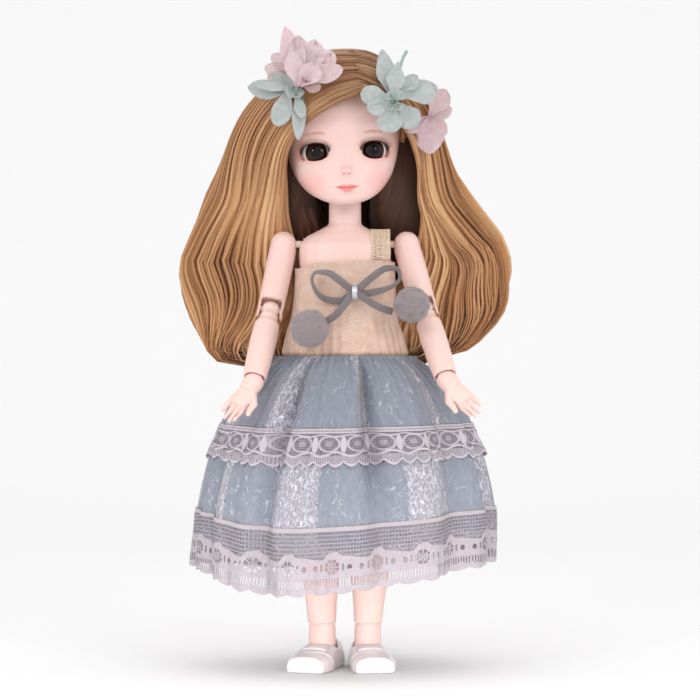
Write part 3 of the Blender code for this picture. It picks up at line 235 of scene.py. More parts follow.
class Shader:
    """A material's node tree, built from expressions."""

    def __init__(self, name: str) -> None:
        """Make an empty material."""
        self.material = bpy.data.materials.new(name)
        self.material.use_nodes = True
        self.tree = self.material.node_tree
        self.tree.nodes.clear()

    def node(self, kind: str, settings: dict | None = None, inputs: dict | None = None) -> bpy.types.Node:
        """Add a node.

        Args:
            kind: The node's type.
            settings: Its settings, which are set first; a ramp's stops are (place, colour) pairs.
            inputs: A value or a link for each socket that is given, by name or number.

        Returns:
            The new node.
        """
        made = self.tree.nodes.new(kind)
        for key, setting in (settings or {}).items():
            if key == "stops":
                ramp = made.color_ramp.elements
                while len(ramp) < len(setting):
                    ramp.new(1.0)
                for element, (place, colour) in zip(ramp, setting):
                    element.position = place
                    element.color = (*colour, 1)
            else:
                setattr(made, key, setting)
        for key, given in (inputs or {}).items():
            socket = made.inputs[key]
            if isinstance(given, Value):
                self.tree.links.new(given.socket, socket)
            elif socket.type == "RGBA" and len(given) == 3:
                socket.default_value = (*given, 1)
            else:
                socket.default_value = given
        return made

    def sum(self, operation: str, *terms: "Value | float") -> Value:
        """Add a Math node for an expression."""
        return Value(self, self.node("ShaderNodeMath", {"operation": operation}, dict(enumerate(terms))).outputs[0])

    def place(self, name: str = "place") -> Value:
        """Read a piece's own coordinates, in millimetres."""
        return Value(self, self.node("ShaderNodeAttribute", {"attribute_name": name}).outputs["Vector"])

    def own_place(self) -> Value:
        """Read the object's own coordinates, in metres."""
        return Value(self, self.node("ShaderNodeTexCoord").outputs["Object"])

    def axes(self, vector: Value) -> tuple[Value, Value, Value]:
        """Split a vector into three values."""
        made = self.node("ShaderNodeSeparateXYZ", {}, {0: vector})
        return Value(self, made.outputs[0]), Value(self, made.outputs[1]), Value(self, made.outputs[2])

    def vector(self, x: "Value | float", y: "Value | float", z: "Value | float" = 0.0) -> Value:
        """Join three values into a vector."""
        return Value(self, self.node("ShaderNodeCombineXYZ", {}, {0: x, 1: y, 2: z}).outputs[0])

    def scaled(self, vector: Value, by: Sequence[float]) -> Value:
        """Scale a vector along each axis."""
        return Value(self, self.node("ShaderNodeVectorMath", {"operation": "MULTIPLY"},
                                     {0: vector, 1: tuple(by)}).outputs[0])

    def bent(self, vector: Value, scale: float, amount: float) -> Value:
        """Push a vector about by noise, by at most about an amount."""
        push = self.node("ShaderNodeTexNoise", {}, {"Vector": vector, "Scale": scale, "Detail": 1.0})
        centred = self.node("ShaderNodeVectorMath", {"operation": "SUBTRACT"},
                            {0: Value(self, push.outputs["Color"]), 1: (0.5, 0.5, 0.5)})
        made = self.node("ShaderNodeVectorMath", {"operation": "MULTIPLY_ADD"},
                         {0: Value(self, centred.outputs[0]), 1: (amount * 2,) * 3, 2: vector})
        return Value(self, made.outputs[0])

    def noise(self, vector: Value, scale: float, detail: float = 2.0, roughness: float = 0.5) -> Value:
        """Noise from 0 to 1 round a middle of 0.5."""
        made = self.node("ShaderNodeTexNoise", {}, {"Vector": vector, "Scale": scale, "Detail": detail,
                                                    "Roughness": roughness})
        return Value(self, made.outputs[0])

    def cells(self, vector: Value, scale: float, feature: str = "F1", randomness: float = 1.0) -> Value:
        """The distance to the nearest cell's middle or edge."""
        made = self.node("ShaderNodeTexVoronoi", {"feature": feature},
                         {"Vector": vector, "Scale": scale, "Randomness": randomness})
        return Value(self, made.outputs["Distance"])

    def spot(self, across: Value, high: Value, wide: float, tall: float) -> Value:
        """The squared distance from an oval's middle: 1 on its rim."""
        return (across / wide) ** 2 + (high / tall) ** 2

    def mix(self, factor: "Value | float", first: "Value | Colour", second: "Value | Colour") -> Value:
        """Mix two colours."""
        made = self.node("ShaderNodeMix", {"data_type": "RGBA"}, {0: factor, 6: first, 7: second})
        return Value(self, made.outputs[2])

    def bump(self, height: Value, distance: float, strength: float = 1.0) -> Value:
        """Turn a height from 0 to 1 into a normal.

        Args:
            height: The height.
            distance: What a height of 1 stands for, in metres.
            strength: How much of the effect is used.

        Returns:
            The normal, for a surface's Normal socket.
        """
        made = self.node("ShaderNodeBump", {}, {"Height": height, "Distance": distance, "Strength": strength})
        return Value(self, made.outputs[0])

    def surface(self, **inputs: "Value | float | Colour") -> bpy.types.Material:
        """Close the tree with a Principled surface.

        Args:
            inputs: The surface's sockets by name, with _ for a space.

        Returns:
            The finished material.
        """
        named = {key.replace("_", " "): given for key, given in inputs.items()}
        bsdf = self.node("ShaderNodeBsdfPrincipled", {}, named)
        self.node("ShaderNodeOutputMaterial", {}, {"Surface": Value(self, bsdf.outputs[0])})
        return self.material


@dataclass(frozen=True)
class SkinFinish:
    """Satin vinyl skin, rosier in soft random blotches."""

    name: str = "skin_vinyl"
    base: Colour = (0.86, 0.612, 0.558)
    rosy: Colour = (0.86, 0.545, 0.485)
    roughness: float = 0.42

    def material(self) -> bpy.types.Material:
        """Build the material."""
        shader = Shader(self.name)
        place = shader.own_place()
        blotch = shader.noise(place, 60, 2)
        grain = shader.noise(place, 2600, 2)
        base = shader.mix(blotch.smooth(0.4, 0.75) * 0.35, self.base, self.rosy)
        return shader.surface(Base_Color=base, Roughness=self.roughness + (blotch - 0.5) * 0.12,
                              Normal=shader.bump(grain, 0.00002), Subsurface_Weight=0.12,
                              Subsurface_Radius=(1.0, 0.45, 0.3), Subsurface_Scale=0.002, Coat_Weight=0.08,
                              Coat_Roughness=0.3)


@dataclass(frozen=True)
class FaceFinish:
    """The face's paint over its skin: brows, lid lines, shadow round the eyes, nose, lips and cheeks, with painted
    shade at the nostrils.
    """

    skin: SkinFinish = SkinFinish()
    eye_across: float = 14.2
    eye_high: float = 25.6
    eye_half_width: float = 6.4
    eye_half_height: float = 4.15
    mouth_high: float = 8.1
    shadow: Colour = (0.83, 0.36, 0.31)
    line: Colour = (0.075, 0.02, 0.016)
    brow: Colour = (0.62, 0.27, 0.17)
    lips: Colour = (0.88, 0.16, 0.17)
    # The seam colour also paints the shade in the nostrils.
    seam: Colour = (0.45, 0.055, 0.06)
    blush: Colour = (0.93, 0.42, 0.40)

    def material(self) -> bpy.types.Material:
        """Build the material."""
        shader = Shader("face_vinyl")
        place = shader.place()
        x, _, z = shader.axes(place)
        side = x.size()
        blotch = shader.noise(place, 0.06, 2)
        colour = shader.mix(blotch.smooth(0.4, 0.75) * 0.25, self.skin.base, self.skin.rosy)
        cheek = shader.spot(side - 17.5, z - 10, 8.5, 6.5).smooth(1.6, 0.0)
        colour = shader.mix(cheek * 0.42, colour, self.blush)
        nose = shader.spot(x, z - 16, 3.4, 3.0).smooth(1.4, 0.1)
        colour = shader.mix(nose * 0.16, colour, self.blush)
        across = side - self.eye_across
        high = z - self.eye_high
        lid = shader.spot(across, high, self.eye_half_width, self.eye_half_height) ** 0.5
        halo = lid.smooth(1.75, 1.0) * (0.30 + 0.6 * across.smooth(-4.0, 7.5))
        colour = shader.mix(halo * 0.75, colour, self.shadow)
        crease = (lid - 1.42).size().smooth(0.07, 0.0) * high.smooth(1.2, 3.4) * across.smooth(9.5, 5.0)
        colour = shader.mix(crease * 0.5, colour, self.shadow)
        wing = across.smooth(1.0, 6.5)
        upper = (lid - 1.0).smooth(0.19, 0.06) * high.smooth(-0.7, 0.5)
        outer = (lid - 1.0).smooth(0.20, 0.08) * high.smooth(-1.6, 0.4) * wing
        colour = shader.mix(upper.most(outer) * 0.95, colour, self.line)
        under = (lid - 1.0).smooth(0.10, 0.02) * high.smooth(0.0, -1.2)
        colour = shader.mix(under * 0.55, colour, self.shadow)
        rise = z - 34.5 + ((side - 14.2) ** 2) * 0.022
        hairs = shader.noise(shader.scaled(place, (1.6, 0.1, 0.55)), 1.4, 2)
        brow = rise.size().smooth(1.05, 0.25) * side.smooth(8.0, 11.0) * side.smooth(20.3, 17.0)
        colour = shader.mix(brow * hairs.smooth(0.15, 0.6) * 0.8, colour, self.brow)
        level = z - self.mouth_high - (x ** 2) * 0.018
        notch = 1 - (x / 0.9).size().smooth(1.4, 0.0) * 0.35
        top = ((1 - (x / 5.3) ** 2).most(0.0) * notch) * 1.55
        low = (1 - (x / 4.7) ** 2).most(0.0) * 2.0
        upper_lip = (level - top).smooth(0.25, -0.25) * level.smooth(-0.3, 0.1)
        lower_lip = (level + low).smooth(-0.35, 0.35) * level.smooth(0.3, -0.1)
        both_lips = upper_lip.most(lower_lip) * side.smooth(6.0, 5.2)
        colour = shader.mix(both_lips * 0.75, colour, self.lips)
        seam = level.size().smooth(0.26, 0.08) * side.smooth(6.2, 5.0)
        colour = shader.mix(seam * 0.8, colour, self.seam)
        # Painted shade: two small dark spots where the nostrils are.
        nostril_shade = shader.spot(side - 1.35, z - 14.7, 0.75, 0.38).smooth(1.3, 0.3)
        colour = shader.mix(nostril_shade * 0.55, colour, self.seam)
        grain = shader.noise(place, 2.6, 2)
        return shader.surface(Base_Color=colour, Roughness=self.skin.roughness - both_lips * 0.16,
                              Normal=shader.bump(grain, 0.00002), Subsurface_Weight=0.12,
                              Subsurface_Radius=(1.0, 0.45, 0.3), Subsurface_Scale=0.002, Coat_Weight=0.08,
                              Coat_Roughness=0.3)


@dataclass(frozen=True)
class EyeFinish:
    """A glass eye: white, a dark brown iris with fine rays, and a black pupil under a clear coat."""

    white: Colour = (0.86, 0.82, 0.80)
    rim: Colour = (0.012, 0.004, 0.003)
    iris: Colour = (0.022, 0.008, 0.006)
    ray: Colour = (0.060, 0.022, 0.015)
    iris_radius: float = 5.2
    pupil_radius: float = 2.5

    def material(self) -> bpy.types.Material:
        """Build the material."""
        shader = Shader("eye_glass")
        place = shader.place()
        x, _, z = shader.axes(place)
        radius = (x ** 2 + z ** 2) ** 0.5
        angle = shader.sum("ARCTAN2", z, x)
        rays = shader.noise(shader.vector(angle * 5.0, radius * 0.25), 3.0, 3)
        iris = shader.mix(rays.smooth(0.35, 0.75) * radius.smooth(2.2, 4.4), self.iris, self.ray)
        iris = shader.mix(radius.smooth(self.iris_radius - 1.1, self.iris_radius - 0.2), iris, self.rim)
        iris = shader.mix(radius.smooth(self.pupil_radius + 0.25, self.pupil_radius - 0.25), iris, (0.002, 0.001, 0.001))
        colour = shader.mix(radius.smooth(self.iris_radius + 0.12, self.iris_radius - 0.12), self.white, iris)
        return shader.surface(Base_Color=colour, Roughness=0.3 + rays * 0.15, Coat_Weight=0.6, Coat_Roughness=0.02,
                              Coat_IOR=1.45, Specular_IOR_Level=0.0, Normal=shader.bump(rays, 0.00004))


@dataclass(frozen=True)
class HairFinish:
    """Golden brown doll hair: fine streaks along each lock and darker towards the roots; a near-black copy of it is
    painted shade inside the mane.
    """

    name: str
    shade: Colour
    middle: Colour
    light: Colour
    roughness: float = 0.36

    def material(self) -> bpy.types.Material:
        """Build the material."""
        shader = Shader(self.name)
        across, along, lock = shader.axes(shader.place())
        coarse = shader.noise(shader.vector(across * 0.45, along * 0.010, lock * 2.0), 1.0, 3, 0.6)
        fine = shader.noise(shader.vector(across * 3.6, along * 0.02, lock * 2.0), 1.0, 3, 0.65)
        tone = coarse * 0.55 + fine * 0.45 + (lock - 0.5) * 0.28
        colour = Value(shader, shader.node(
            "ShaderNodeValToRGB", {"stops": [(0.26, self.shade), (0.48, self.middle), (0.74, self.light)]},
            {0: tone}).outputs[0])
        colour = shader.mix(along.smooth(44.0, 10.0) * 0.52, colour, tuple(part * 0.52 for part in self.shade))
        return shader.surface(Base_Color=colour, Roughness=self.roughness + fine * 0.2,
                              Normal=shader.bump(fine, 0.00025), Specular_IOR_Level=0.45, Sheen_Weight=0.15,
                              Sheen_Roughness=0.5)


@dataclass(frozen=True)
class PlainFinish:
    """A moulded or spun finish with faint mottling and a fine bump."""

    name: str
    base: Colour
    dark: Colour
    roughness: float = 0.5
    metallic: float = 0.0
    coat: float = 0.0
    sheen: float = 0.0
    scale: float = 900.0
    depth: float = 0.00004

    def material(self) -> bpy.types.Material:
        """Build the material."""
        shader = Shader(self.name)
        place = shader.own_place()
        coarse = shader.noise(place, self.scale * 0.12, 2)
        fine = shader.noise(place, self.scale, 3, 0.6)
        return shader.surface(Base_Color=shader.mix(coarse * 0.5 + fine * 0.35, self.base, self.dark),
                              Roughness=self.roughness + (fine - 0.5) * 0.14, Metallic=self.metallic,
                              Coat_Weight=self.coat, Coat_Roughness=0.12, Sheen_Weight=self.sheen,
                              Normal=shader.bump(fine, self.depth))


@dataclass(frozen=True)
class KnitFinish:
    """Peach crepe knit: fine ribs, soft blotches and faint crossing threads."""

    name: str = "bodice_knit"
    base: Colour = (0.80, 0.585, 0.465)
    shade: Colour = (0.60, 0.38, 0.31)
    thread: Colour = (0.90, 0.73, 0.63)

    def material(self) -> bpy.types.Material:
        """Build the material."""
        shader = Shader(self.name)
        place = shader.place()
        x, y, _ = shader.axes(place)
        bent = shader.bent(place, 0.9, 0.22)
        u, v, _ = shader.axes(bent)
        rib = u.ripple(0.52)
        stitch = (v * (FULL_TURN / 0.42) + u.wave(1.04) * 1.4).sine() * 0.5 + 0.5
        blotch = shader.noise(place, 0.22, 3, 0.6)
        crinkle = shader.noise(shader.scaled(place, (1.0, 0.35, 1.0)), 0.9, 3, 0.6)
        vines = shader.cells(shader.bent(place, 0.35, 2.2), 0.16, "DISTANCE_TO_EDGE")
        vine = vines.smooth(0.045, 0.015)
        colour = shader.mix(blotch.smooth(0.35, 0.75) * 0.45 + (1 - rib * stitch) * 0.22, self.base, self.shade)
        colour = shader.mix(vine * 0.45 + crinkle.smooth(0.6, 0.8) * 0.3, colour, self.thread)
        height = rib * 0.25 + stitch * 0.2 + crinkle * 0.9 + vine * 0.5
        return shader.surface(Base_Color=colour, Roughness=0.86 - vine * 0.1, Sheen_Weight=0.25, Sheen_Roughness=0.5,
                              Normal=shader.bump(height, 0.00028))


@dataclass(frozen=True)
class PatchFinish:
    """Skirt cloth: rounded grey-blue patches edged with curly thread on a silvery crinkled net, whose drop-shaped
    glints are painted highlights.
    """

    name: str = "skirt_patchwork"
    blue: Colour = (0.205, 0.226, 0.275)
    blue_light: Colour = (0.30, 0.315, 0.37)
    # The bright net colour carries both the net's pale threads and its painted highlights.
    net: Colour = (0.80, 0.77, 0.88)
    net_dark: Colour = (0.27, 0.265, 0.305)
    thread: Colour = (0.62, 0.64, 0.70)

    def material(self) -> bpy.types.Material:
        """Build the material."""
        shader = Shader(self.name)
        place = shader.place()
        distance, run, _ = shader.axes(shader.place("patch"))
        wobble = shader.noise(place, 0.55, 2) - 0.5
        edge = distance + wobble * 1.3
        patch = edge.smooth(0.15, -0.15)
        curl = (run * 1.7 + wobble * 9.0).sine() * 0.55
        outline = (edge + curl).size().smooth(0.42, 0.16) * shader.noise(place, 0.8, 1).smooth(0.30, 0.44)
        vines = shader.cells(shader.bent(place, 0.22, 4.5), 0.055, "DISTANCE_TO_EDGE")
        inside = edge.smooth(-1.0, -2.0)
        vine = vines.smooth(0.016, 0.006) * inside * shader.noise(place, 0.35, 1).smooth(0.36, 0.5) * 0.8
        thread = outline.most(vine)
        bent = shader.bent(place, 0.8, 0.18)
        u, v, _ = shader.axes(bent)
        rib = u.ripple(0.72)
        weft = v.ripple(0.55)
        mottle = shader.noise(shader.scaled(place, (1.0, 0.35, 1.0)), 0.5, 3, 0.6)
        blue = shader.mix(mottle.smooth(0.3, 0.75) * 0.6 + rib * 0.28 + weft * 0.12, self.blue, self.blue_light)
        warped = shader.bent(place, 0.33, 1.4)
        netting = shader.cells(shader.scaled(warped, (0.85, 0.30, 1.0)), 1.0, "DISTANCE_TO_EDGE")
        drops = shader.cells(shader.scaled(warped, (0.52, 0.20, 1.0)), 1.0)
        zones = shader.noise(shader.scaled(place, (1.0, 0.6, 1.0)), 0.16, 2)
        # Painted highlights: drop-shaped glints, brighter in patchy zones, lighten the net's colour; they also raise
        # its bump and its metallic share.
        shine = drops.smooth(0.44, 0.10) * (zones.smooth(0.32, 0.58) * 0.75 + 0.25)
        web = netting.smooth(0.14, 0.04)
        net_tone = web * 0.42 + shine * 0.95
        net = shader.mix(net_tone.least(1.0), self.net_dark, self.net)
        colour = shader.mix(patch, net, blue)
        colour = shader.mix(thread * 0.62, colour, self.thread)
        height = (1 - patch) * (web * 0.5 + shine * 0.9) + patch * (rib * 0.28 + weft * 0.15 + 0.25) + thread * 0.9
        rough = patch * 0.42 + 0.42
        glossy = (1 - patch) * shine * 0.45
        return shader.surface(Base_Color=colour, Roughness=rough, Metallic=glossy, Sheen_Weight=0.12,
                              Normal=shader.bump(height, 0.00035))


class LaceKind(Enum):
    """The two laces of the skirt."""

    BAND = "lace_band_knit"
    HEM = "lace_hem_knit"


@dataclass(frozen=True)
class LaceFinish:
    """White machine lace, open between its threads: places are along the band and down it, in millimetres."""

    kind: LaceKind
    white: Colour = (0.52, 0.475, 0.525)
    shade: Colour = (0.30, 0.265, 0.31)

    @property
    def name(self) -> str:
        """The material's name."""
        return self.kind.value

    @staticmethod
    def ground(shader: Shader, u: Value, v: Value, pitch: float, thread: float) -> Value:
        """A net of many-sided meshes: 1 on its threads."""
        edge = shader.cells(shader.vector(u / pitch, v / pitch), 1.0, "DISTANCE_TO_EDGE", 0.35)
        return edge.smooth(thread, thread * 0.6)

    def band(self, shader: Shader, u: Value, v: Value) -> tuple[Value, Value]:
        """The band: a picot tape, ovals and sprigs on net, and a frilled double scallop.

        Args:
            shader: The shader.
            u: Millimetres along the band.
            v: Millimetres down it.

        Returns:
            How solid the lace is, and its thickness.
        """
        period = 15.0
        cell = u.cycle(period)
        net = self.ground(shader, u, v, 1.15, 0.17)
        tape = (v - 1.3).size().smooth(1.25, 1.0)
        holes = u.cycle(1.15).size().smooth(0.20, 0.30).most((v - 1.3).size().smooth(0.30, 0.42))
        tape = tape * (holes * 0.75 + 0.25)
        oval = (shader.spot(cell, v - 7.0, 5.4, 3.3) ** 0.5 - 1.0).size().smooth(0.20, 0.08) * 0.9
        heart = (shader.spot(cell, v - 7.0, 2.3, 1.5) ** 0.5 - 0.75).smooth(0.25, 0.0) * 0.55
        other = (u + period / 2).cycle(period)
        sprig = (shader.spot(other, v - 7.2, 1.7, 3.9) ** 0.5).smooth(1.1, 0.85)
        wave = u.wave(period)
        vine = (v - 11.6 - wave * 0.9).size().smooth(0.75, 0.45)
        upper = (v - 3.4 + wave * 0.4).size().smooth(0.45, 0.25)
        frill = u.ripple(1.1) * 0.55 + 0.45
        scallop = wave.size()
        rim = 14.6 + scallop * 2.2
        edge = (v - rim).size().smooth(0.75, 0.45)
        lower = v.smooth(11.8, 12.4) * frill * 0.8
        figure = tape.most(oval).most(heart).most(sprig).most(vine).most(upper).most(edge).most(lower)
        solid = figure.most(net * 0.9) * (v - rim).smooth(0.65, 0.45)
        return solid, figure

    def hem(self, shader: Shader, u: Value, v: Value) -> tuple[Value, Value]:
        """The hem: a tape, rows of square net, medallions and leaves, and a slotted scalloped edge.

        Args:
            shader: The shader.
            u: Millimetres along the hem.
            v: Millimetres down it.

        Returns:
            How solid the lace is, and its thickness.
        """
        period = 21.0
        tape = v.smooth(2.3, 1.9)
        column = u.cycle(1.35).size()
        row = v.cycle(1.75).size()
        net = column.smooth(0.40, 0.50).most(row.smooth(0.48, 0.62)) * 0.96
        cell = u.cycle(period)
        other = (u + period / 2).cycle(period)
        cloudy = shader.noise(shader.vector(u, v, 3.0), 0.45, 2)
        crest = 13.2 + u.wave(period) * 0.7 - (cell.size() / 4.0).smooth(1.2, 0.4) * 2.4
        field = (v - crest).smooth(-0.35, 0.2)
        radius = (cell ** 2 + (v - 17.2) ** 2) ** 0.5
        angle = shader.sum("ARCTAN2", v - 17.2, cell)
        ring = (radius - 2.45).size().smooth(0.95, 0.75)
        spokes = ((angle * 4.0).sine().size()).smooth(0.32, 0.5)
        window = ring * spokes
        core = (radius - 0.9).size().smooth(0.34, 0.2)
        leaf_u = other.size()
        leaf = ((leaf_u - 2.6) ** 2 + ((v - 17.6) * 0.8) ** 2) ** 0.5
        leaf_hole = (leaf - 1.0).smooth(0.1, -0.15)
        cross = ((leaf_u - 5.6).size().smooth(0.5, 0.32)) * (v - 17.4).size().smooth(1.6, 1.4)
        slot = ((u / 1.25).part() - 0.5).size().smooth(0.17, 0.24)
        slots_zone = (v - 23.9).size().smooth(2.0, 1.8)
        scallop = u.wave(period).size()
        rim = 27.4 + scallop * 1.25
        slotted = 1 - slots_zone * (1 - slot)
        openings = (window * 0.9).most(leaf_hole).most(cross * 0.8).most(core * 0.6)
        flowered = (1 - openings * 0.93) * slotted
        pin = shader.cells(shader.vector(u, v, 0.0), 1.5, "F1", 0.3).smooth(0.16, 0.30)
        body = field * flowered * (pin * 0.45 + 0.55)
        solid = tape.most(net * (1 - field)).most(body) * (v - rim).smooth(0.2, 0.0)
        figure = tape.most(field * flowered * (cloudy * 0.6 + 0.6))
        return solid, figure

    def material(self) -> bpy.types.Material:
        """Build the material."""
        shader = Shader(self.name)
        u, v, _ = shader.axes(shader.place())
        solid, figure = (self.band if self.kind is LaceKind.BAND else self.hem)(shader, u, v)
        fibre = shader.noise(shader.vector(u, v, 0.0), 2.6, 2)
        colour = shader.mix(figure * 0.8 + fibre * 0.25, self.shade, self.white)
        return shader.surface(Base_Color=colour, Roughness=0.8 - figure * 0.05, Alpha=solid.most(0.0).least(1.0) * 0.97,
                              Sheen_Weight=0.2, Normal=shader.bump(figure * 0.8 + fibre * 0.4, 0.0003))


@dataclass(frozen=True)
class FeltFinish:
    """Short-haired felt or suede, lighter where its nap stands up."""

    name: str
    base: Colour
    light: Colour
    scale: float = 1900.0

    def material(self) -> bpy.types.Material:
        """Build the material."""
        shader = Shader(self.name)
        place = shader.own_place()
        fibre = shader.noise(place, self.scale, 3, 0.7)
        clump = shader.noise(place, self.scale * 0.2, 3, 0.6)
        return shader.surface(Base_Color=shader.mix(fibre * 0.6 + clump * 0.4, self.base, self.light),
                              Roughness=0.95 - fibre * 0.1, Sheen_Weight=0.4, Sheen_Roughness=0.6,
                              Normal=shader.bump(fibre * 0.6 + clump * 0.6, 0.0004))


@dataclass(frozen=True)
class PetalFinish:
    """Thin organza or chiffon: fine weave, veins from the root, paler in soft patches."""

    name: str
    base: Colour
    rim: Colour
    root: Colour

    def material(self) -> bpy.types.Material:
        """Build the material."""
        shader = Shader(self.name)
        u, v, w = shader.axes(shader.place())
        weave = u.wave(0.35) * v.wave(0.35) * 0.5 + 0.5
        soft = shader.noise(shader.vector(u, v, w), 0.35, 3)
        vein = shader.noise(shader.vector(u * 1.5, v * 0.12, w), 1.0, 2)
        colour = shader.mix(soft.smooth(0.35, 0.7) * 0.6, self.base, self.rim)
        colour = shader.mix(v.smooth(5.0, 0.5) * 0.65, colour, self.root)
        return shader.surface(Base_Color=colour, Roughness=0.62 + weave * 0.12, Sheen_Weight=0.3,
                              Subsurface_Weight=0.3, Subsurface_Radius=(1.0, 1.0, 1.0), Subsurface_Scale=0.001,
                              Normal=shader.bump(weave * 0.15 + vein * 0.9, 0.00025))


@dataclass(frozen=True)
class TulleFinish:
    """Open diamond net."""

    name: str = "tulle_net"
    base: Colour = (0.66, 0.44, 0.42)

    def material(self) -> bpy.types.Material:
        """Build the material."""
        shader = Shader(self.name)
        u, v, _ = shader.axes(shader.place())
        first = (((u + v) / 0.95).part() - 0.5).size().smooth(0.30, 0.40)
        second = (((u - v) / 0.95).part() - 0.5).size().smooth(0.30, 0.40)
        thread = first.most(second)
        tone = shader.noise(shader.vector(u, v, 0.0), 0.8, 2)
        return shader.surface(Base_Color=shader.mix(tone, self.base, (0.80, 0.62, 0.60)), Roughness=0.7 + tone * 0.1,
                              Alpha=thread * 0.9, Normal=shader.bump(thread, 0.0001))


@dataclass(frozen=True)
class VinylFinish:
    """Glossy soft vinyl, as the shoes are: pearly with faint flow marks."""

    name: str = "shoe_vinyl"
    base: Colour = (0.72, 0.655, 0.665)
    shade: Colour = (0.76, 0.68, 0.70)

    def material(self) -> bpy.types.Material:
        """Build the material."""
        shader = Shader(self.name)
        place = shader.own_place()
        flow = shader.noise(place, 90, 3)
        grain = shader.noise(place, 1500, 2)
        return shader.surface(Base_Color=shader.mix(flow * 0.5, self.base, self.shade), Roughness=0.26 + flow * 0.12,
                              Coat_Weight=0.6, Coat_Roughness=0.15, Subsurface_Weight=0.1, Subsurface_Scale=0.002,
                              Normal=shader.bump(grain, 0.00003))


SKIN = SkinFinish()
HAIR = HairFinish("hair_gold", (0.22, 0.082, 0.026), (0.54, 0.262, 0.108), (0.86, 0.54, 0.28))
# A near-black copy of the hair: painted shade for the mane's inner mass and its inner locks.
HAIR_PAINTED_SHADE = HairFinish("hair_inside", (0.040, 0.011, 0.003), (0.095, 0.030, 0.009), (0.20, 0.080, 0.028), 0.5)
HANGING = ("head", "neck", (0, 0, 0.245), (0, 0, 0.185))
LASH = PlainFinish("lash_fibre", (0.035, 0.014, 0.010), (0.015, 0.006, 0.005), 0.5)

MATERIALS: dict[str, bpy.types.Material] = {}


def stacked(*parts: Array | float) -> Array:
    """Join parts of one shape, or of shapes that stretch to it, along a last axis."""
    return np.stack(np.broadcast_arrays(*parts), axis=-1)


def turns_of(count: int) -> Array:
    """Angles that go once round, in radians."""
    return np.linspace(0, FULL_TURN, count, endpoint=False)


def globe(rows: int, columns: int) -> Array:
    """Points of a ball with a radius of one, in rings from its bottom to its top."""
    up = np.linspace(-0.5, 0.5, rows)[:, None] * math.pi
    around = turns_of(columns)[None, :]
    return stacked(np.cos(up) * np.cos(around), np.cos(up) * np.sin(around), np.sin(up))


def evened(path: Array, rounds: int) -> None:
    """Smooth a path in place between its ends."""
    for _ in range(rounds):
        path[1:-1] = (path[:-2] + path[1:-1] * 2 + path[2:]) / 4


def run_of(path: Array) -> Array:
    """How far along a path each of its points lies."""
    return np.concatenate([[0], np.cumsum(np.linalg.norm(np.diff(path, axis=0), axis=1))])


def shown(name: str, mesh: bpy.types.Mesh) -> bpy.types.Object:
    """Put a mesh into the scene."""
    made = bpy.data.objects.new(name, mesh)
    bpy.context.scene.collection.objects.link(made)
    return made


def smoothed(mesh: bpy.types.Mesh) -> None:
    """Shade all of a mesh's faces smooth."""
    mesh.polygons.foreach_set("use_smooth", [True] * len(mesh.polygons))


def points_of(mesh: bpy.types.Mesh, kind: str = "co") -> Array:
    """A mesh's points, or its normals, one row for each."""
    values = np.empty(len(mesh.vertices) * 3, np.float32)
    mesh.vertices.foreach_get(kind, values)
    return values.reshape(-1, 3)


def noted(mesh: bpy.types.Mesh, name: str, rows: Array) -> None:
    """Write a row of three numbers for each of a mesh's points, for the finishes to read."""
    mesh.attributes.new(name, "FLOAT_VECTOR", "POINT").data.foreach_set("vector", rows.astype(np.float32).ravel())


def dressed(finish: object) -> bpy.types.Material:
    """Return a finish's material, built once."""
    key = getattr(finish, "name", type(finish).__name__)
    if key not in MATERIALS:
        MATERIALS[key] = finish.material()
    return MATERIALS[key]


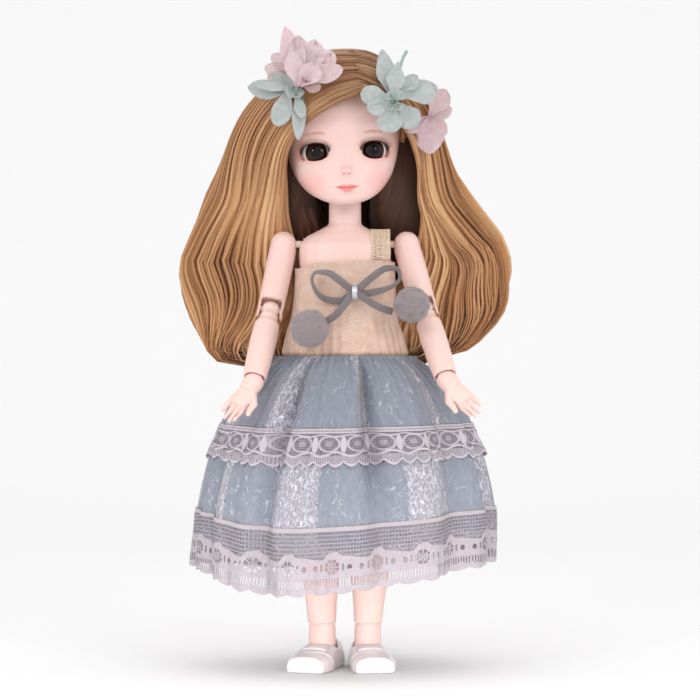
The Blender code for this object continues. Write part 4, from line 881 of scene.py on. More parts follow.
class Cloth:
    """Points, places and faces that are gathered into one piece."""

    def __init__(self) -> None:
        """Start empty."""
        self.points: list[Array] = []
        self.places: list[Array] = []
        self.faces: list[tuple[int, ...]] = []
        self.count = 0

    def grid(self, points: Array, places: Array | None = None, around: bool = False, capped: bool = False) -> None:
        """Add a grid of quads.

        Args:
            points: Rows by columns by three, in metres.
            places: The piece's own coordinates in the same shape, in millimetres; the points where none.
            around: Join the last column to the first.
            capped: Close the first and the last row, which are rings.
        """
        places = points / MM if places is None else places
        rows, columns = points.shape[:2]
        index = np.arange(rows * columns).reshape(rows, columns) + self.count
        left = index if around else index[:, :-1]
        right = np.roll(index, -1, axis=1) if around else index[:, 1:]
        quads = np.stack([left[:-1], right[:-1], right[1:], left[1:]], axis=-1).reshape(-1, 4)
        self.faces += quads.tolist()
        self.points.append(points.reshape(-1, 3))
        self.places.append(places.reshape(-1, 3))
        self.count += rows * columns
        if capped:
            for ring, row in ((index[0][::-1], 0), (index[-1], -1)):
                self.points.append(points[row].mean(axis=0)[None])
                self.places.append(places[row].mean(axis=0)[None])
                turned_ring = np.roll(ring, -1)
                self.faces += [(int(a), int(b), self.count) for a, b in zip(ring, turned_ring)]
                self.count += 1

    def band(self, outer: Array, inner: Array, places: Array) -> None:
        """Add a thin closed band that goes round: two grids joined along both edges.

        Args:
            outer: The outer grid, in metres.
            inner: The inner grid.
            places: The piece's own coordinates for both, in millimetres.
        """
        rows, columns = outer.shape[:2]
        first, last = np.arange(columns) + self.count, np.arange(columns) + (2 * rows - 1) * columns + self.count
        self.grid(np.concatenate([outer, inner[::-1]], axis=0), np.concatenate([places, places[::-1]], axis=0),
                  around=True)
        self.faces += np.stack([last, np.roll(last, -1), np.roll(first, -1), first], axis=-1).tolist()

    def cord(self, path: Array, radius: Array | float, sides: int) -> None:
        """Add a round thread along a path, in metres."""
        self.grid(tube(path, radius, sides)[0], around=True, capped=True)

    def mesh(self, name: str, tidy: bool = True) -> bpy.types.Mesh:
        """Make the mesh, smooth, with its place attribute."""
        mesh = bpy.data.meshes.new(name)
        mesh.from_pydata(np.concatenate(self.points).tolist(), [], self.faces)
        noted(mesh, "place", np.concatenate(self.places))
        if tidy:
            bm = bmesh.new()
            bm.from_mesh(mesh)
            bmesh.ops.recalc_face_normals(bm, faces=bm.faces)
            bm.to_mesh(mesh)
            bm.free()
        smoothed(mesh)
        mesh.update()
        return mesh

    def piece(self, name: str, finish: object, body: str, slot: str, *nodes: str, tidy: bool = True) -> bpy.types.Object:
        """Make the piece and let it ride.

        Args:
            name: The piece's name.
            finish: Its finish.
            body: The body that it rides on.
            slot: The record's material slot; not used.
            nodes: The solids that it stands for.
            tidy: Turn the faces outward.

        Returns:
            The piece's object.
        """
        return worn(shown(name, self.mesh(name, tidy)), finish, body, slot, *nodes)


def worn(piece: bpy.types.Object, finish: object, body: str | tuple, slot: str, *nodes: str) -> bpy.types.Object:
    """Dress a piece, let it ride on a body, or leave it fixed in the world where two are given, and stand for nodes."""
    piece.data.materials.clear()
    piece.data.materials.append(dressed(finish))
    if isinstance(body, tuple):
        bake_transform(piece)
    else:
        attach(piece, body)
    if nodes:
        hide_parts(*nodes)
    log.info("%s: %d faces", piece.name, len(piece.data.polygons))
    return piece


def applied(piece: bpy.types.Object) -> None:
    """Apply a piece's modifiers to its mesh."""
    graph = bpy.context.evaluated_depsgraph_get()
    graph.update()
    mesh = bpy.data.meshes.new_from_object(piece.evaluated_get(graph), depsgraph=graph)
    piece.modifiers.clear()
    piece.data = mesh


def placed(mesh: bpy.types.Mesh, frame_matrix: Matrix) -> None:
    """Write each point's place in a frame, in millimetres."""
    if "place" in mesh.attributes:
        mesh.attributes.remove(mesh.attributes["place"])
    noted(mesh, "place", carried(points_of(mesh), frame_matrix.inverted()) / MM)


def finer(piece: bpy.types.Object, voxel: float, rounds: int = 0) -> None:
    """Build a piece's mesh anew from small cubes, and draw its points together.

    Args:
        piece: The piece.
        voxel: The size of the new mesh, in millimetres.
        rounds: How often its points are drawn together.
    """
    remesh = piece.modifiers.new("fine", "REMESH")
    remesh.mode = "VOXEL"
    remesh.voxel_size = voxel * MM
    if rounds:
        soften = piece.modifiers.new("soft", "SMOOTH")
        soften.factor = 0.5
        soften.iterations = rounds
    applied(piece)


def carved(piece: bpy.types.Object, *tools: bpy.types.Object) -> None:
    """Cut tools out of a piece and remove them."""
    for tool in tools:
        cut = piece.modifiers.new("cut", "BOOLEAN")
        cut.operation = "DIFFERENCE"
        cut.solver = "EXACT"
        cut.object = tool
    applied(piece)
    for tool in tools:
        bpy.data.objects.remove(tool)


def tube(path: Array, radius: Array | float, sides: int, flat: Array | float = 1.0,
         up: Array | None = None) -> tuple[Array, Array]:
    """Sweep an oval along a path.

    Args:
        path: The path's points, in metres.
        radius: The half width at each point.
        sides: Points round the oval.
        flat: The half thickness as a share of the half width.
        up: The direction across the thickness at each point; chosen where none.

    Returns:
        The tube's grid, and how far across the width each of its points lies, in metres.
    """
    count = len(path)
    along = unit(np.gradient(path, axis=0))
    if up is None:
        guess = np.array((0.0, 1.0, 0.0)) if abs(along[0, 1]) < 0.9 else np.array((1.0, 0.0, 0.0))
        up = np.empty_like(path)
        for step in range(count):
            guess = guess - along[step] * guess.dot(along[step])
            guess = guess / max(np.linalg.norm(guess), 1e-12)
            up[step] = guess
    side = unit(np.cross(along, up))
    up = np.cross(side, along)
    radius = np.broadcast_to(np.asarray(radius, float), (count,))
    flat = np.broadcast_to(np.asarray(flat, float), (count,))
    angle = np.arange(sides) * 2 * math.pi / sides
    wide = radius[:, None] * np.cos(angle)
    deep = (radius * flat)[:, None] * np.sin(angle)
    return path[:, None] + side[:, None] * wide[..., None] + up[:, None] * deep[..., None], wide


@dataclass
class Head:
    """The head: face shell with openings and ears, eyes and lashes. Sizes are in millimetres."""

    height: float = 71.0
    half_width: float = 28.3
    half_depth: float = 29.0
    wall: float = 1.6
    seam_back: float = 13.0
    columns: int = 190
    rows: int = 150
    squareness: float = 2.5
    eye_across: float = 14.2
    eye_high: float = 25.6
    eye_half_width: float = 6.4
    eye_half_height: float = 4.15
    eyeball: float = 7.6
    eyeball_forward: float = 14.4
    lashes: int = 21
    shares: tuple = ((0.0, 0.0, -0.62, -0.62), (0.006, 0.11, -0.70, -0.56), (0.014, 0.20, -0.74, -0.50),
                     (0.031, 0.335, -0.80, -0.33), (0.060, 0.475, -0.845, -0.10), (0.092, 0.58, -0.87, 0.28),
                     (0.127, 0.665, -0.885, 0.58), (0.21, 0.81, -0.895, 0.80), (0.295, 0.895, -0.89, 0.93),
                     (0.39, 0.955, -0.885, 1.01), (0.47, 0.985, -0.90, 1.05), (0.55, 1.0, -0.93, 1.07),
                     (0.64, 0.985, -0.925, 1.05), (0.74, 0.92, -0.85, 0.98), (0.85, 0.76, -0.68, 0.82),
                     (0.94, 0.49, -0.41, 0.53), (0.985, 0.24, -0.18, 0.26), (1.0, 0.0, 0.04, 0.04))

    def ring(self, high: Array, angle: Array, grow: float = 0.0) -> Array:
        """Points of the head's surface.

        Args:
            high: Heights as shares of the head's height.
            angle: Angles round the head, in radians from the doll's left towards its back.
            grow: A clearance or thickness outward, in millimetres.

        Returns:
            Points in the head's frame, in millimetres.
        """
        sizes = through([row[0] for row in self.shares], [row[1:] for row in self.shares], high)
        wide = self.half_width * sizes[..., 0] + grow
        front = self.half_depth * sizes[..., 1] - grow
        back = self.half_depth * sizes[..., 2] + grow
        exponent = np.where(np.sin(angle) < 0, 2 / self.squareness, 1.0)
        x = wide * power_of(np.cos(angle), exponent)
        y = (front + back) / 2 + (back - front) / 2 * power_of(np.sin(angle), exponent)
        z = self.height * high + grow * (2 * high - 1)
        return stacked(x, y, z)

    @staticmethod
    def relief(x: Array, z: Array) -> Array:
        """How far the face stands out from its oval, in millimetres: nose, lips, chin and cheeks out, eyes in."""
        def bump(across: float, high: float, wide: float, tall: float) -> Array:
            return np.exp(-((x - across) / wide) ** 2 - ((z - high) / tall) ** 2)

        level = z - 8.1 - x * x * 0.018
        nose = 2.9 * bump(0, 16.2, 2.5, 2.4) + 1.25 * bump(0, 21.5, 2.6, 5.5)
        wings = 0.75 * (bump(-1.9, 15.4, 1.1, 1.1) + bump(1.9, 15.4, 1.1, 1.1))
        under = -0.5 * bump(0, 13.3, 2.6, 0.9) - 0.35 * bump(0, 11.6, 0.8, 1.4)
        upper = 1.0 * np.exp(-(x / 3.9) ** 2 - ((level - 0.95) / 1.0) ** 2)
        lower = 1.25 * np.exp(-(x / 3.4) ** 2 - ((level + 1.15) / 1.2) ** 2)
        parted = -0.75 * np.exp(-(x / 4.8) ** 4 - (level / 0.33) ** 2)
        corners = -0.35 * (bump(-5.6, 8.5, 1.2, 1.2) + bump(5.6, 8.5, 1.2, 1.2))
        chin = 1.1 * bump(0, 1.6, 5.0, 3.0) - 0.75 * bump(0, 4.6, 4.2, 1.2)
        cheeks = 0.9 * (bump(-14, 11, 8, 7) + bump(14, 11, 8, 7))
        sockets = -1.5 * (bump(-11.7, 25.6, 6.6, 5.6) + bump(11.7, 25.6, 6.6, 5.6))
        lids = 0.35 * (bump(-14.2, 31.2, 6.5, 1.1) + bump(14.2, 31.2, 6.5, 1.1))
        return nose + wings + under + upper + lower + parted + corners + chin + cheeks + sockets + lids

    def opening(self, count: int, grow: float = 0.0) -> Array:
        """The outline of an eye's opening about its middle, in millimetres."""
        angle = turns_of(count)
        x = (self.eye_half_width + grow) * np.cos(angle)
        tall = np.where(np.sin(angle) > 0, 0.78, 0.88)
        z = (self.eye_half_height + grow) * power_of(np.sin(angle), tall)
        return np.stack([x, z], axis=-1)

    def face(self) -> None:
        """Make the face shell from the seam forward, with its eye openings."""
        shell = Cloth()
        high = eased(0, 1, np.linspace(0.0, 1.0, self.rows)) * 0.4 + np.linspace(0.0, 1.0, self.rows) * 0.6
        angle = np.linspace(-0.5, 0.5, self.columns) * 1.72 * math.pi - math.pi / 2
        grids = []
        for grow in (0.0, -self.wall):
            points = self.ring(high[:, None] * 0.985 + 0.0075, angle[None, :], grow)
            if grow == 0.0:
                front = points[..., 1] < 0
                points[..., 1] -= self.relief(points[..., 0], points[..., 2]) * front
            points[..., 1] = np.minimum(points[..., 1], self.seam_back)
            grids.append(points * MM)
        outer, inner = grids
        loop = np.concatenate([outer, inner[:, ::-1]], axis=1)
        shell.grid(carried(loop, HEAD_FRAME), around=True, capped=True)
        face = shown("face", shell.mesh("face"))
        for side in Side:
            cutter = Cloth()
            outline = self.opening(48)
            rows = []
            for deep in (-self.half_depth * 1.4, -self.eyeball_forward * 0.75):
                rows.append(np.stack([outline[:, 0] + side.value * self.eye_across, np.full(48, deep),
                                      outline[:, 1] + self.eye_high], axis=-1) * MM)
            cutter.grid(carried(np.stack(rows), HEAD_FRAME), around=True, capped=True)
            carved(face, shown("lid_tool", cutter.mesh("lid_tool")))
        smoothed(face.data)
        placed(face.data, HEAD_FRAME)
        worn(face, FaceFinish(), "head", "skin", "face_shell")

    def ear(self, side: Side) -> None:
        """Make one ear: a rounded shell with a rim and a hollow."""
        ear = Cloth()
        x, y, z = np.moveaxis(globe(40, 56), -1, 0)
        outward = np.clip(x, 0, 1)
        radius = np.sqrt(y ** 2 + z ** 2)
        hollow = -0.55 * outward * np.exp(-((radius - 0.35) / 0.30) ** 2) + 0.10 * np.exp(-((radius - 0.85) / 0.12) ** 2)
        x = x + hollow
        lobe = 1 - 0.22 * eased(0.1, -1.0, z)
        local = np.stack([x * 4.2, y * 5.4 * lobe, z * 9.6], axis=-1) * MM
        local[..., 0] *= side.value
        place = HEAD_FRAME @ moved((side.value * (self.half_width - 0.4) * MM, 5.4 * MM, 25 * MM))
        ear.grid(carried(local, place @ turned(side.value * 18, "Z")), around=True, capped=True)
        ear.piece(side.word + "_ear", SKIN, "head", "skin")

    def eye(self, side: Side) -> None:
        """Make one eye, whose iris looks straight ahead."""
        eye = Cloth()
        x, y, z = np.moveaxis(globe(64, 96), -1, 0)
        local = stacked(x, -z, y)
        centre = (side.value * (self.eye_across - self.eyeball * 0.18), -self.eyeball_forward, self.eye_high)
        place = HEAD_FRAME @ moved(Vector(centre) * MM) @ turned(side.value * 8.0, "Z")
        places = local * self.eyeball
        places[..., 0] = np.where(local[..., 1] < 0, places[..., 0], 50)
        eye.grid(carried(local * self.eyeball * MM, place), places, around=True, capped=True)
        eye.piece(side.word + "_glass_eye", EyeFinish(), "head", "eye", side.word + "_eye")

    def lid(self, side: Side, surface: BVHTree, angle: float, grow: float) -> Array:
        """A point of the face just outside an eye's opening.

        Args:
            side: The side.
            surface: The face's surface.
            angle: The angle about the opening's middle, in radians from its outer corner.
            grow: How far outside the opening it lies, in millimetres.

        Returns:
            The point, in the world and in metres.
        """
        high = math.sin(angle)
        x = (self.eye_half_width + grow) * math.cos(angle)
        z = (self.eye_half_height + grow) * math.copysign(abs(high) ** 0.78, high)
        start = Vector(((self.eye_across + x) * side.value, -self.half_depth * 3, self.eye_high + z)) * MM
        return np.array(surface.ray_cast(HEAD_FRAME @ start, HEAD_FRAME.to_3x3() @ Y_AXIS)[0])

    def lash_fan(self, side: Side, surface: BVHTree) -> None:
        """Make one eye's upper lashes, a fan of tapered hairs, longer at the outer corner."""
        fan = Cloth()
        for step in range(self.lashes + 7):
            share = step / (self.lashes - 1) if step < self.lashes else (step - self.lashes) * 0.026
            angle = math.pi * (0.04 + 0.92 * share)
            outer = 1 - share
            if step >= self.lashes:
                angle, outer = -math.pi * (0.02 + 0.035 * (step - self.lashes)), 0.55
            root = self.lid(side, surface, angle, 0.25)
            length = (1.9 + 1.6 * outer ** 2) * (1.0 if step < self.lashes else 0.55)
            lean = math.cos(angle) * 0.75 + 0.12
            rise = math.sin(angle) * 0.9 + 0.25 if angle > 0 else -0.6
            way = np.array((lean * side.value, -0.75, rise))
            way = way / np.linalg.norm(way)
            t = np.linspace(0, 1, 7)[:, None]
            lift = np.array((0, -0.1, 0.35 if angle > 0 else -0.1))
            path = root + np.array(HEAD_FRAME.to_3x3() @ Vector(way)) * t * length * MM + lift * t * t * length * MM * 0.6
            fan.cord(path, 0.20 * MM * (1.08 - t[:, 0]), 5)
        t = np.linspace(0.03, 0.97, 40)
        path = []
        for share in t:
            path.append(self.lid(side, surface, math.pi * (1 - share), 0.12) - np.array((0, 0.05, 0)) * MM)
        fan.cord(np.array(path), (0.15 + 0.10 * eased(0.55, 1.0, t)) * MM, 8)
        fan.piece(side.word + "_lash_fan", LASH, "head", "lash", side.word + "_lashes")

    def make(self) -> None:
        """Make the whole head."""
        self.face()
        graph = bpy.context.evaluated_depsgraph_get()
        surface = BVHTree.FromObject(bpy.data.objects["face"], graph)
        for side in Side:
            self.ear(side)
            self.eye(side)
            self.lash_fan(side, surface)


@dataclass
class Hair:
    """The long wavy hair: an under cap, an inner mass, flat locks in layers, and fine loose strands.

    Sizes are in millimetres, in the neck's frame for the mane and in the head's for the crown.
    """

    head: Head
    half_width: float = 75.5
    back: float = 42.0
    length: float = 143.0
    top: float = 62.0
    cap_thickness: float = 4.6
    crown_thickness: float = 5.4
    locks: int = 300
    strands: int = 900
    seed: int = 11
    outer_shares: tuple = ((0.0, -0.42, 0.40, -0.05, 0.72), (0.08, -0.66, 0.60, -0.17, 0.88),
                           (0.22, -0.78, 0.69, -0.17, 0.96), (0.35, -0.83, 0.71, -0.12, 0.98),
                           (0.47, -0.91, 0.81, 0.06, 0.94), (0.57, -0.975, 0.92, 0.19, 0.92),
                           (0.68, -1.01, 0.98, 0.20, 0.92), (0.78, -1.015, 0.975, 0.20, 0.92),
                           (0.89, -0.98, 0.87, 0.22, 0.90), (0.97, -0.84, 0.71, 0.26, 0.84),
                           (1.0, -0.66, 0.55, 0.32, 0.74))
    inner_shares: tuple = ((0.0, -0.41, 0.41, -0.02, 0.70), (0.22, -0.425, 0.425, 0.02, 0.80),
                           (0.35, -0.40, 0.40, 0.10, 0.78), (0.47, -0.31, 0.31, 0.22, 0.62),
                           (0.60, -0.37, 0.37, 0.36, 0.60), (0.80, -0.41, 0.41, 0.40, 0.62),
                           (1.0, -0.42, 0.40, 0.42, 0.62))
    parting: tuple = ((8.0, -25.0, 55.5), (7.0, -16.0, 66.0), (5.0, -2.0, 74.0), (3.0, 14.0, 74.0), (1.0, 27.0, 66.0))
    left_sweep: tuple = ((0.4, -28.6, 52.0), (-9.5, -28.6, 49.0), (-19.0, -25.5, 44.0), (-27.0, -18.5, 37.5),
                         (-31.5, -8.0, 28.0))
    right_sweep: tuple = ((13.0, -27.0, 52.5), (20.0, -23.8, 47.5), (26.0, -17.5, 41.0), (30.5, -8.0, 34.0),
                          (33.5, 4.0, 26.0))

    def hull(self, share: Array, angle: Array, depth: Array) -> Array:
        """Points of the mane between its outer and its inner surface.

        Args:
            share: Height from the mane's top to its ends, 0 to 1.
            angle: Angle round the mane, in radians from the doll's left towards its back.
            depth: 0 on the outer surface and 1 on the inner one.

        Returns:
            Points in the neck's frame, in millimetres.
        """
        surfaces = []
        for table in (self.outer_shares, self.inner_shares):
            sizes = through([row[0] for row in table], [row[1:] for row in table], share)
            half = self.half_width * (sizes[..., 1] - sizes[..., 0]) / 2
            centre = self.half_width * (sizes[..., 1] + sizes[..., 0]) / 2
            front, behind = self.back * sizes[..., 2], self.back * sizes[..., 3]
            x = centre + half * np.cos(angle)
            y = (front + behind) / 2 + (behind - front) / 2 * np.sin(angle)
            surfaces.append(stacked(x, y, self.top - share * self.length))
        depth = np.asarray(depth)[..., None]
        return surfaces[0] * (1 - depth) + surfaces[1] * depth

    def crown_surface(self) -> BVHTree:
        """The smooth surface that the crown's locks lie on, in the head's frame, in millimetres."""
        high = np.linspace(0.02, 1, 60)[:, None]
        angle = turns_of(96)[None, :]
        points = self.head.ring(high, angle, self.crown_thickness)
        points[-1] = points[-1].mean(axis=0)
        index = np.arange(points.shape[0] * 96).reshape(-1, 96)
        following = np.roll(index, -1, axis=1)
        faces = np.stack([index[:-1], following[:-1], following[1:], index[1:]], axis=-1).reshape(-1, 4)
        return BVHTree.FromPolygons(points.reshape(-1, 3).tolist(), faces.tolist())

    def hairline(self, angle: Array) -> Array:
        """How high the under cap reaches down at each angle, as a share of the head's height."""
        turn = (np.degrees(angle) + 90 + 180) % 360 - 180
        return through((-180, -120, -97, -80, -55, -30, 0, 20, 45, 65, 90, 120, 180),
                       (0.10, 0.16, 0.30, 0.50, 0.605, 0.68, 0.745, 0.76, 0.66, 0.57, 0.42, 0.16, 0.10), turn)

    def cap(self) -> None:
        """Make the under cap, which shades the skin between the locks."""
        cap = Cloth()
        angle = turns_of(120)
        down = np.linspace(0, 1, 46)[:, None]
        high = 1 - (1 - self.hairline(angle))[None, :] * down
        outer = self.head.ring(high, angle[None, :], self.cap_thickness - 2.2 * eased(0.85, 1.0, down))
        inner = self.head.ring(high, angle[None, :], 0.35)
        solid = np.concatenate([outer, inner[::-1]], axis=0)
        places = stacked(np.degrees(angle)[None, :] * 0.5, 60 * (1 - solid[..., 2] / self.head.height), 0.4)
        cap.grid(carried(solid * MM, HEAD_FRAME), places, around=True)
        cap.piece("hair_cap", HAIR, "head", "hair_crown", "hair_crown")

    def mass(self) -> None:
        """Make the inner mass of the mane, open towards the body, dark with painted shade."""
        arc = np.linspace(-66 * DEGREE, 246 * DEGREE, 110)
        share = np.concatenate([[0.035], np.linspace(0.05, 0.93, 46), [0.945]])[:, None]
        thin = np.ones((48, 1))
        thin[[0, -1]] = 0
        depth = 0.28 + 0.42 * (1 - eased(0.05, 0.34, share)) + np.zeros((48, 110))
        outer = self.hull(share, arc[None, :], depth)
        inner = self.hull(share, arc[None, :], depth + (0.84 - depth) * thin)
        loop = np.concatenate([outer, inner[:, ::-1]], axis=1)
        places = stacked(loop[..., 0] * 0.8 + loop[..., 1], -loop[..., 2], 0.5)
        mass = Cloth()
        mass.grid(carried(loop * MM, NECK_FRAME), places, around=True)
        # The inner mass wears the hair's painted-shade copy.
        mass.piece("hair_inner_mass", HAIR_PAINTED_SHADE, HANGING, "hair")

    def path(self, surface: BVHTree, side: int, front: float, depth: float, end: float, low_angle: float,
             random: np.random.Generator, count: int) -> Array:
        """The middle line of one lock, from the parting over the crown and down the mane.

        Args:
            surface: The crown's surface.
            side: 1 towards the doll's left and -1 towards its right.
            front: 0 for hair that starts at the parting's back and 1 at its front.
            depth: How deep in the mane it lies, 0 outside and 1 inside.
            end: The share of the mane's length where it ends.
            low_angle: Its angle round the mane lower down, in degrees.
            random: The source of small differences.
            count: The number of points.

        Returns:
            Points in the world, in metres.
        """
        middle = np.array((0, 0, 35.5))
        start = through(np.linspace(0, 1, len(self.parting)), self.parting, np.array([(1 - front) * 0.98]))[0]
        start = start - np.array((side * 0.9, 0, 0)) + random.normal(0, 0.6, 3)
        joined = 0.16 + 0.05 * (1 - depth) + 0.085 * float(eased(0.5, 1.0, front))
        mix_angle = min(max(low_angle, -33.0), 235.0)
        joint = self.hull(np.array(joined), np.array(mix_angle * DEGREE), np.array(depth))
        turn = np.array(turned(3, "Z"))[:3, :3]
        goal = joint @ turn
        first, last = unit(start - middle), unit(goal - middle)
        bend = math.acos(float(np.clip(first.dot(last), -1, 1)))
        crown_count = int(count * 0.4)
        crown = []
        sweep = self.left_sweep if side < 0 else self.right_sweep
        for t in np.linspace(0, 1, crown_count, endpoint=False):
            way = (first * math.sin((1 - t) * bend) + last * math.sin(t * bend)) / math.sin(bend)
            way = unit(way)
            hit = surface.ray_cast(Vector(middle), Vector(way))[0]
            out = np.array(hit)
            reach = np.linalg.norm(goal - middle) / max(np.linalg.norm(out - middle), 1e-6)
            out = middle + (out - middle) * (1 + (reach - 1) * eased(0.45, 1.0, t) - 0.05 * depth)
            if front > 0.55:
                line = through(np.linspace(0, 1, len(sweep) + 1), [self.parting[0], *sweep], np.array([t]))[0]
                hug = eased(0.55, 1.0, front) * (1 - 0.5 * eased(0.75, 1.0, t))
                out = out * (1 - hug) + (line + unit(line - middle) * 1.6) * hug
            crown.append(out)
        crown = carried(np.array(crown) * MM, HEAD_FRAME)
        t = np.linspace(0, 1, count - crown_count)
        share = joined + (end - joined) * t
        phase = low_angle * 0.045 + side * 0.6
        sway = np.sin(t * 8.2 + phase) * eased(0.1, 0.7, t)
        angle = (mix_angle + (low_angle - mix_angle) * eased(0.1, 0.65, t) + sway * (4.2 + random.normal(0, 0.5))) * DEGREE
        inward = depth + 0.11 * sway * (1 - depth) + 0.50 * (1 - depth) * eased(0.86, 1.0, t) ** 2
        points = self.hull(share, angle, np.clip(inward, -0.02, 1))
        points[:, 2] += 4.0 * eased(0.88, 1.0, t) ** 2 * (1 - depth)
        mane = carried(points * MM, NECK_FRAME)
        path = np.concatenate([crown, mane])
        first, last = crown_count - 5, crown_count + 5
        span = last - first
        leave, arrive = (path[first] - path[first - 2]) / 2 * span, (path[last + 2] - path[last]) / 2 * span
        t = (np.arange(span + 1) / span)[:, None]
        path[first:last + 1] = (path[first] * (2 * t ** 3 - 3 * t ** 2 + 1) + leave * (t ** 3 - 2 * t ** 2 + t)
                                + path[last] * (3 * t ** 2 - 2 * t ** 3) + arrive * (t ** 3 - t ** 2))
        for _ in range(14):
            low, high = crown_count - 11, crown_count + 11
            path[low:high] = (path[low - 1:high - 1] + path[low:high] * 2 + path[low + 1:high + 1]) / 4
        return path

    def strands_of(self, name: str, finish: HairFinish, plans: Iterable[tuple], surface: BVHTree, slot: str,
                   *nodes: str) -> None:
        """Make one piece of many locks or strands.

        Args:
            name: The piece's name.
            finish: Its finish.
            plans: For each lock its side, front, depth, end, low angle, half width, flatness, sides and seed.
            surface: The crown's surface.
            slot: The record's material slot; not used.
            nodes: The solids that it stands for.
        """
        piece = Cloth()
        for side, front, depth, end, low_angle, half, flat, sides, seed in plans:
            random = np.random.default_rng(seed)
            count = 40 if sides > 4 else 34
            path = self.path(surface, side, front, depth, end, low_angle, random, count)
            t = np.linspace(0, 1, count)
            taper = (0.60 + 0.40 * eased(0, 0.30, t)) * (1 - 0.93 * eased(0.80, 1.0, t) ** 1.5)
            outward = path - np.array(NECK_FRAME.translation)
            low = 1 - eased(0.004, 0.056, outward[:, 2])
            outward[:, 1] -= 0.004 + 0.012 * low
            outward[:, 0] *= 1 - 0.86 * low
            outward[:, 2] *= 1 - 0.90 * low
            grid, wide = tube(path, half * MM * taper, sides, flat, unit(outward))
            clump = 0.26 * math.sin(low_angle * 0.23 + side) + 0.14 * math.sin(low_angle * 0.61)
            value = 0.5 + clump + 0.10 * random.random()
            places = stacked(low_angle * 0.85 - wide / MM, run_of(path)[:, None] / MM, value)
            piece.grid(grid, places, around=True, capped=True)
        piece.piece(name, finish, HANGING, slot, *nodes, tidy=False)

    def make(self) -> None:
        """Make the whole head of hair."""
        self.cap()
        self.mass()
        surface = self.crown_surface()
        random = np.random.default_rng(self.seed)
        sets = {"hair_locks_left": [], "hair_locks_right": [], "hair_locks_back": []}
        inner = []
        for index in range(self.locks):
            u = (index + random.random()) / self.locks
            side = -1 if u < 0.53 else 1
            v = u / 0.53 if side < 0 else (1 - u) / 0.47
            front = 1 - v ** 0.9
            low = (248 - 158 * v) if side < 0 else (-68 + 158 * v)
            layer = random.random()
            depth = 0.01 + 0.07 * layer
            end = 0.955 + 0.045 * random.random()
            plan = (side, front, depth, end, low, 6.0 + 4.5 * random.random(), 0.11, 12, int(random.integers(1 << 30)))
            key = "hair_locks_back" if 50 < low < 130 else "hair_locks_right" if side < 0 else "hair_locks_left"
            sets[key].append(plan)
            if index % 3 == 0:
                low_in = low + random.normal(0, 3)
                inner.append((side, min(front, 0.5), 0.45 + 0.5 * random.random(), 0.80 + 0.12 * random.random(), low_in,
                              3.0, 0.4, 6, int(random.integers(1 << 30))))
        nodes = {"hair_locks_left": "hair_left", "hair_locks_right": "hair_right", "hair_locks_back": "hair_back"}
        for name, plans in sets.items():
            self.strands_of(name, HAIR, plans, surface, "hair", nodes[name])
        # The inner locks wear the hair's painted-shade copy, deep in the mane.
        self.strands_of("hair_inner_locks", HAIR_PAINTED_SHADE, inner, surface, "hair")
        loose = []
        for index in range(self.strands):
            u = random.random()
            side = -1 if u < 0.53 else 1
            v = random.random()
            low = (250 - 160 * v) if side < 0 else (-70 + 160 * v)
            loose.append((side, 1 - v ** 0.9, random.uniform(-0.02, 0.05), 0.9 + 0.1 * random.random(), low,
                          0.22 + 0.2 * random.random(), 0.8, 4, int(random.integers(1 << 30))))
        self.strands_of("hair_loose_strands", HAIR, loose, surface, "hair")


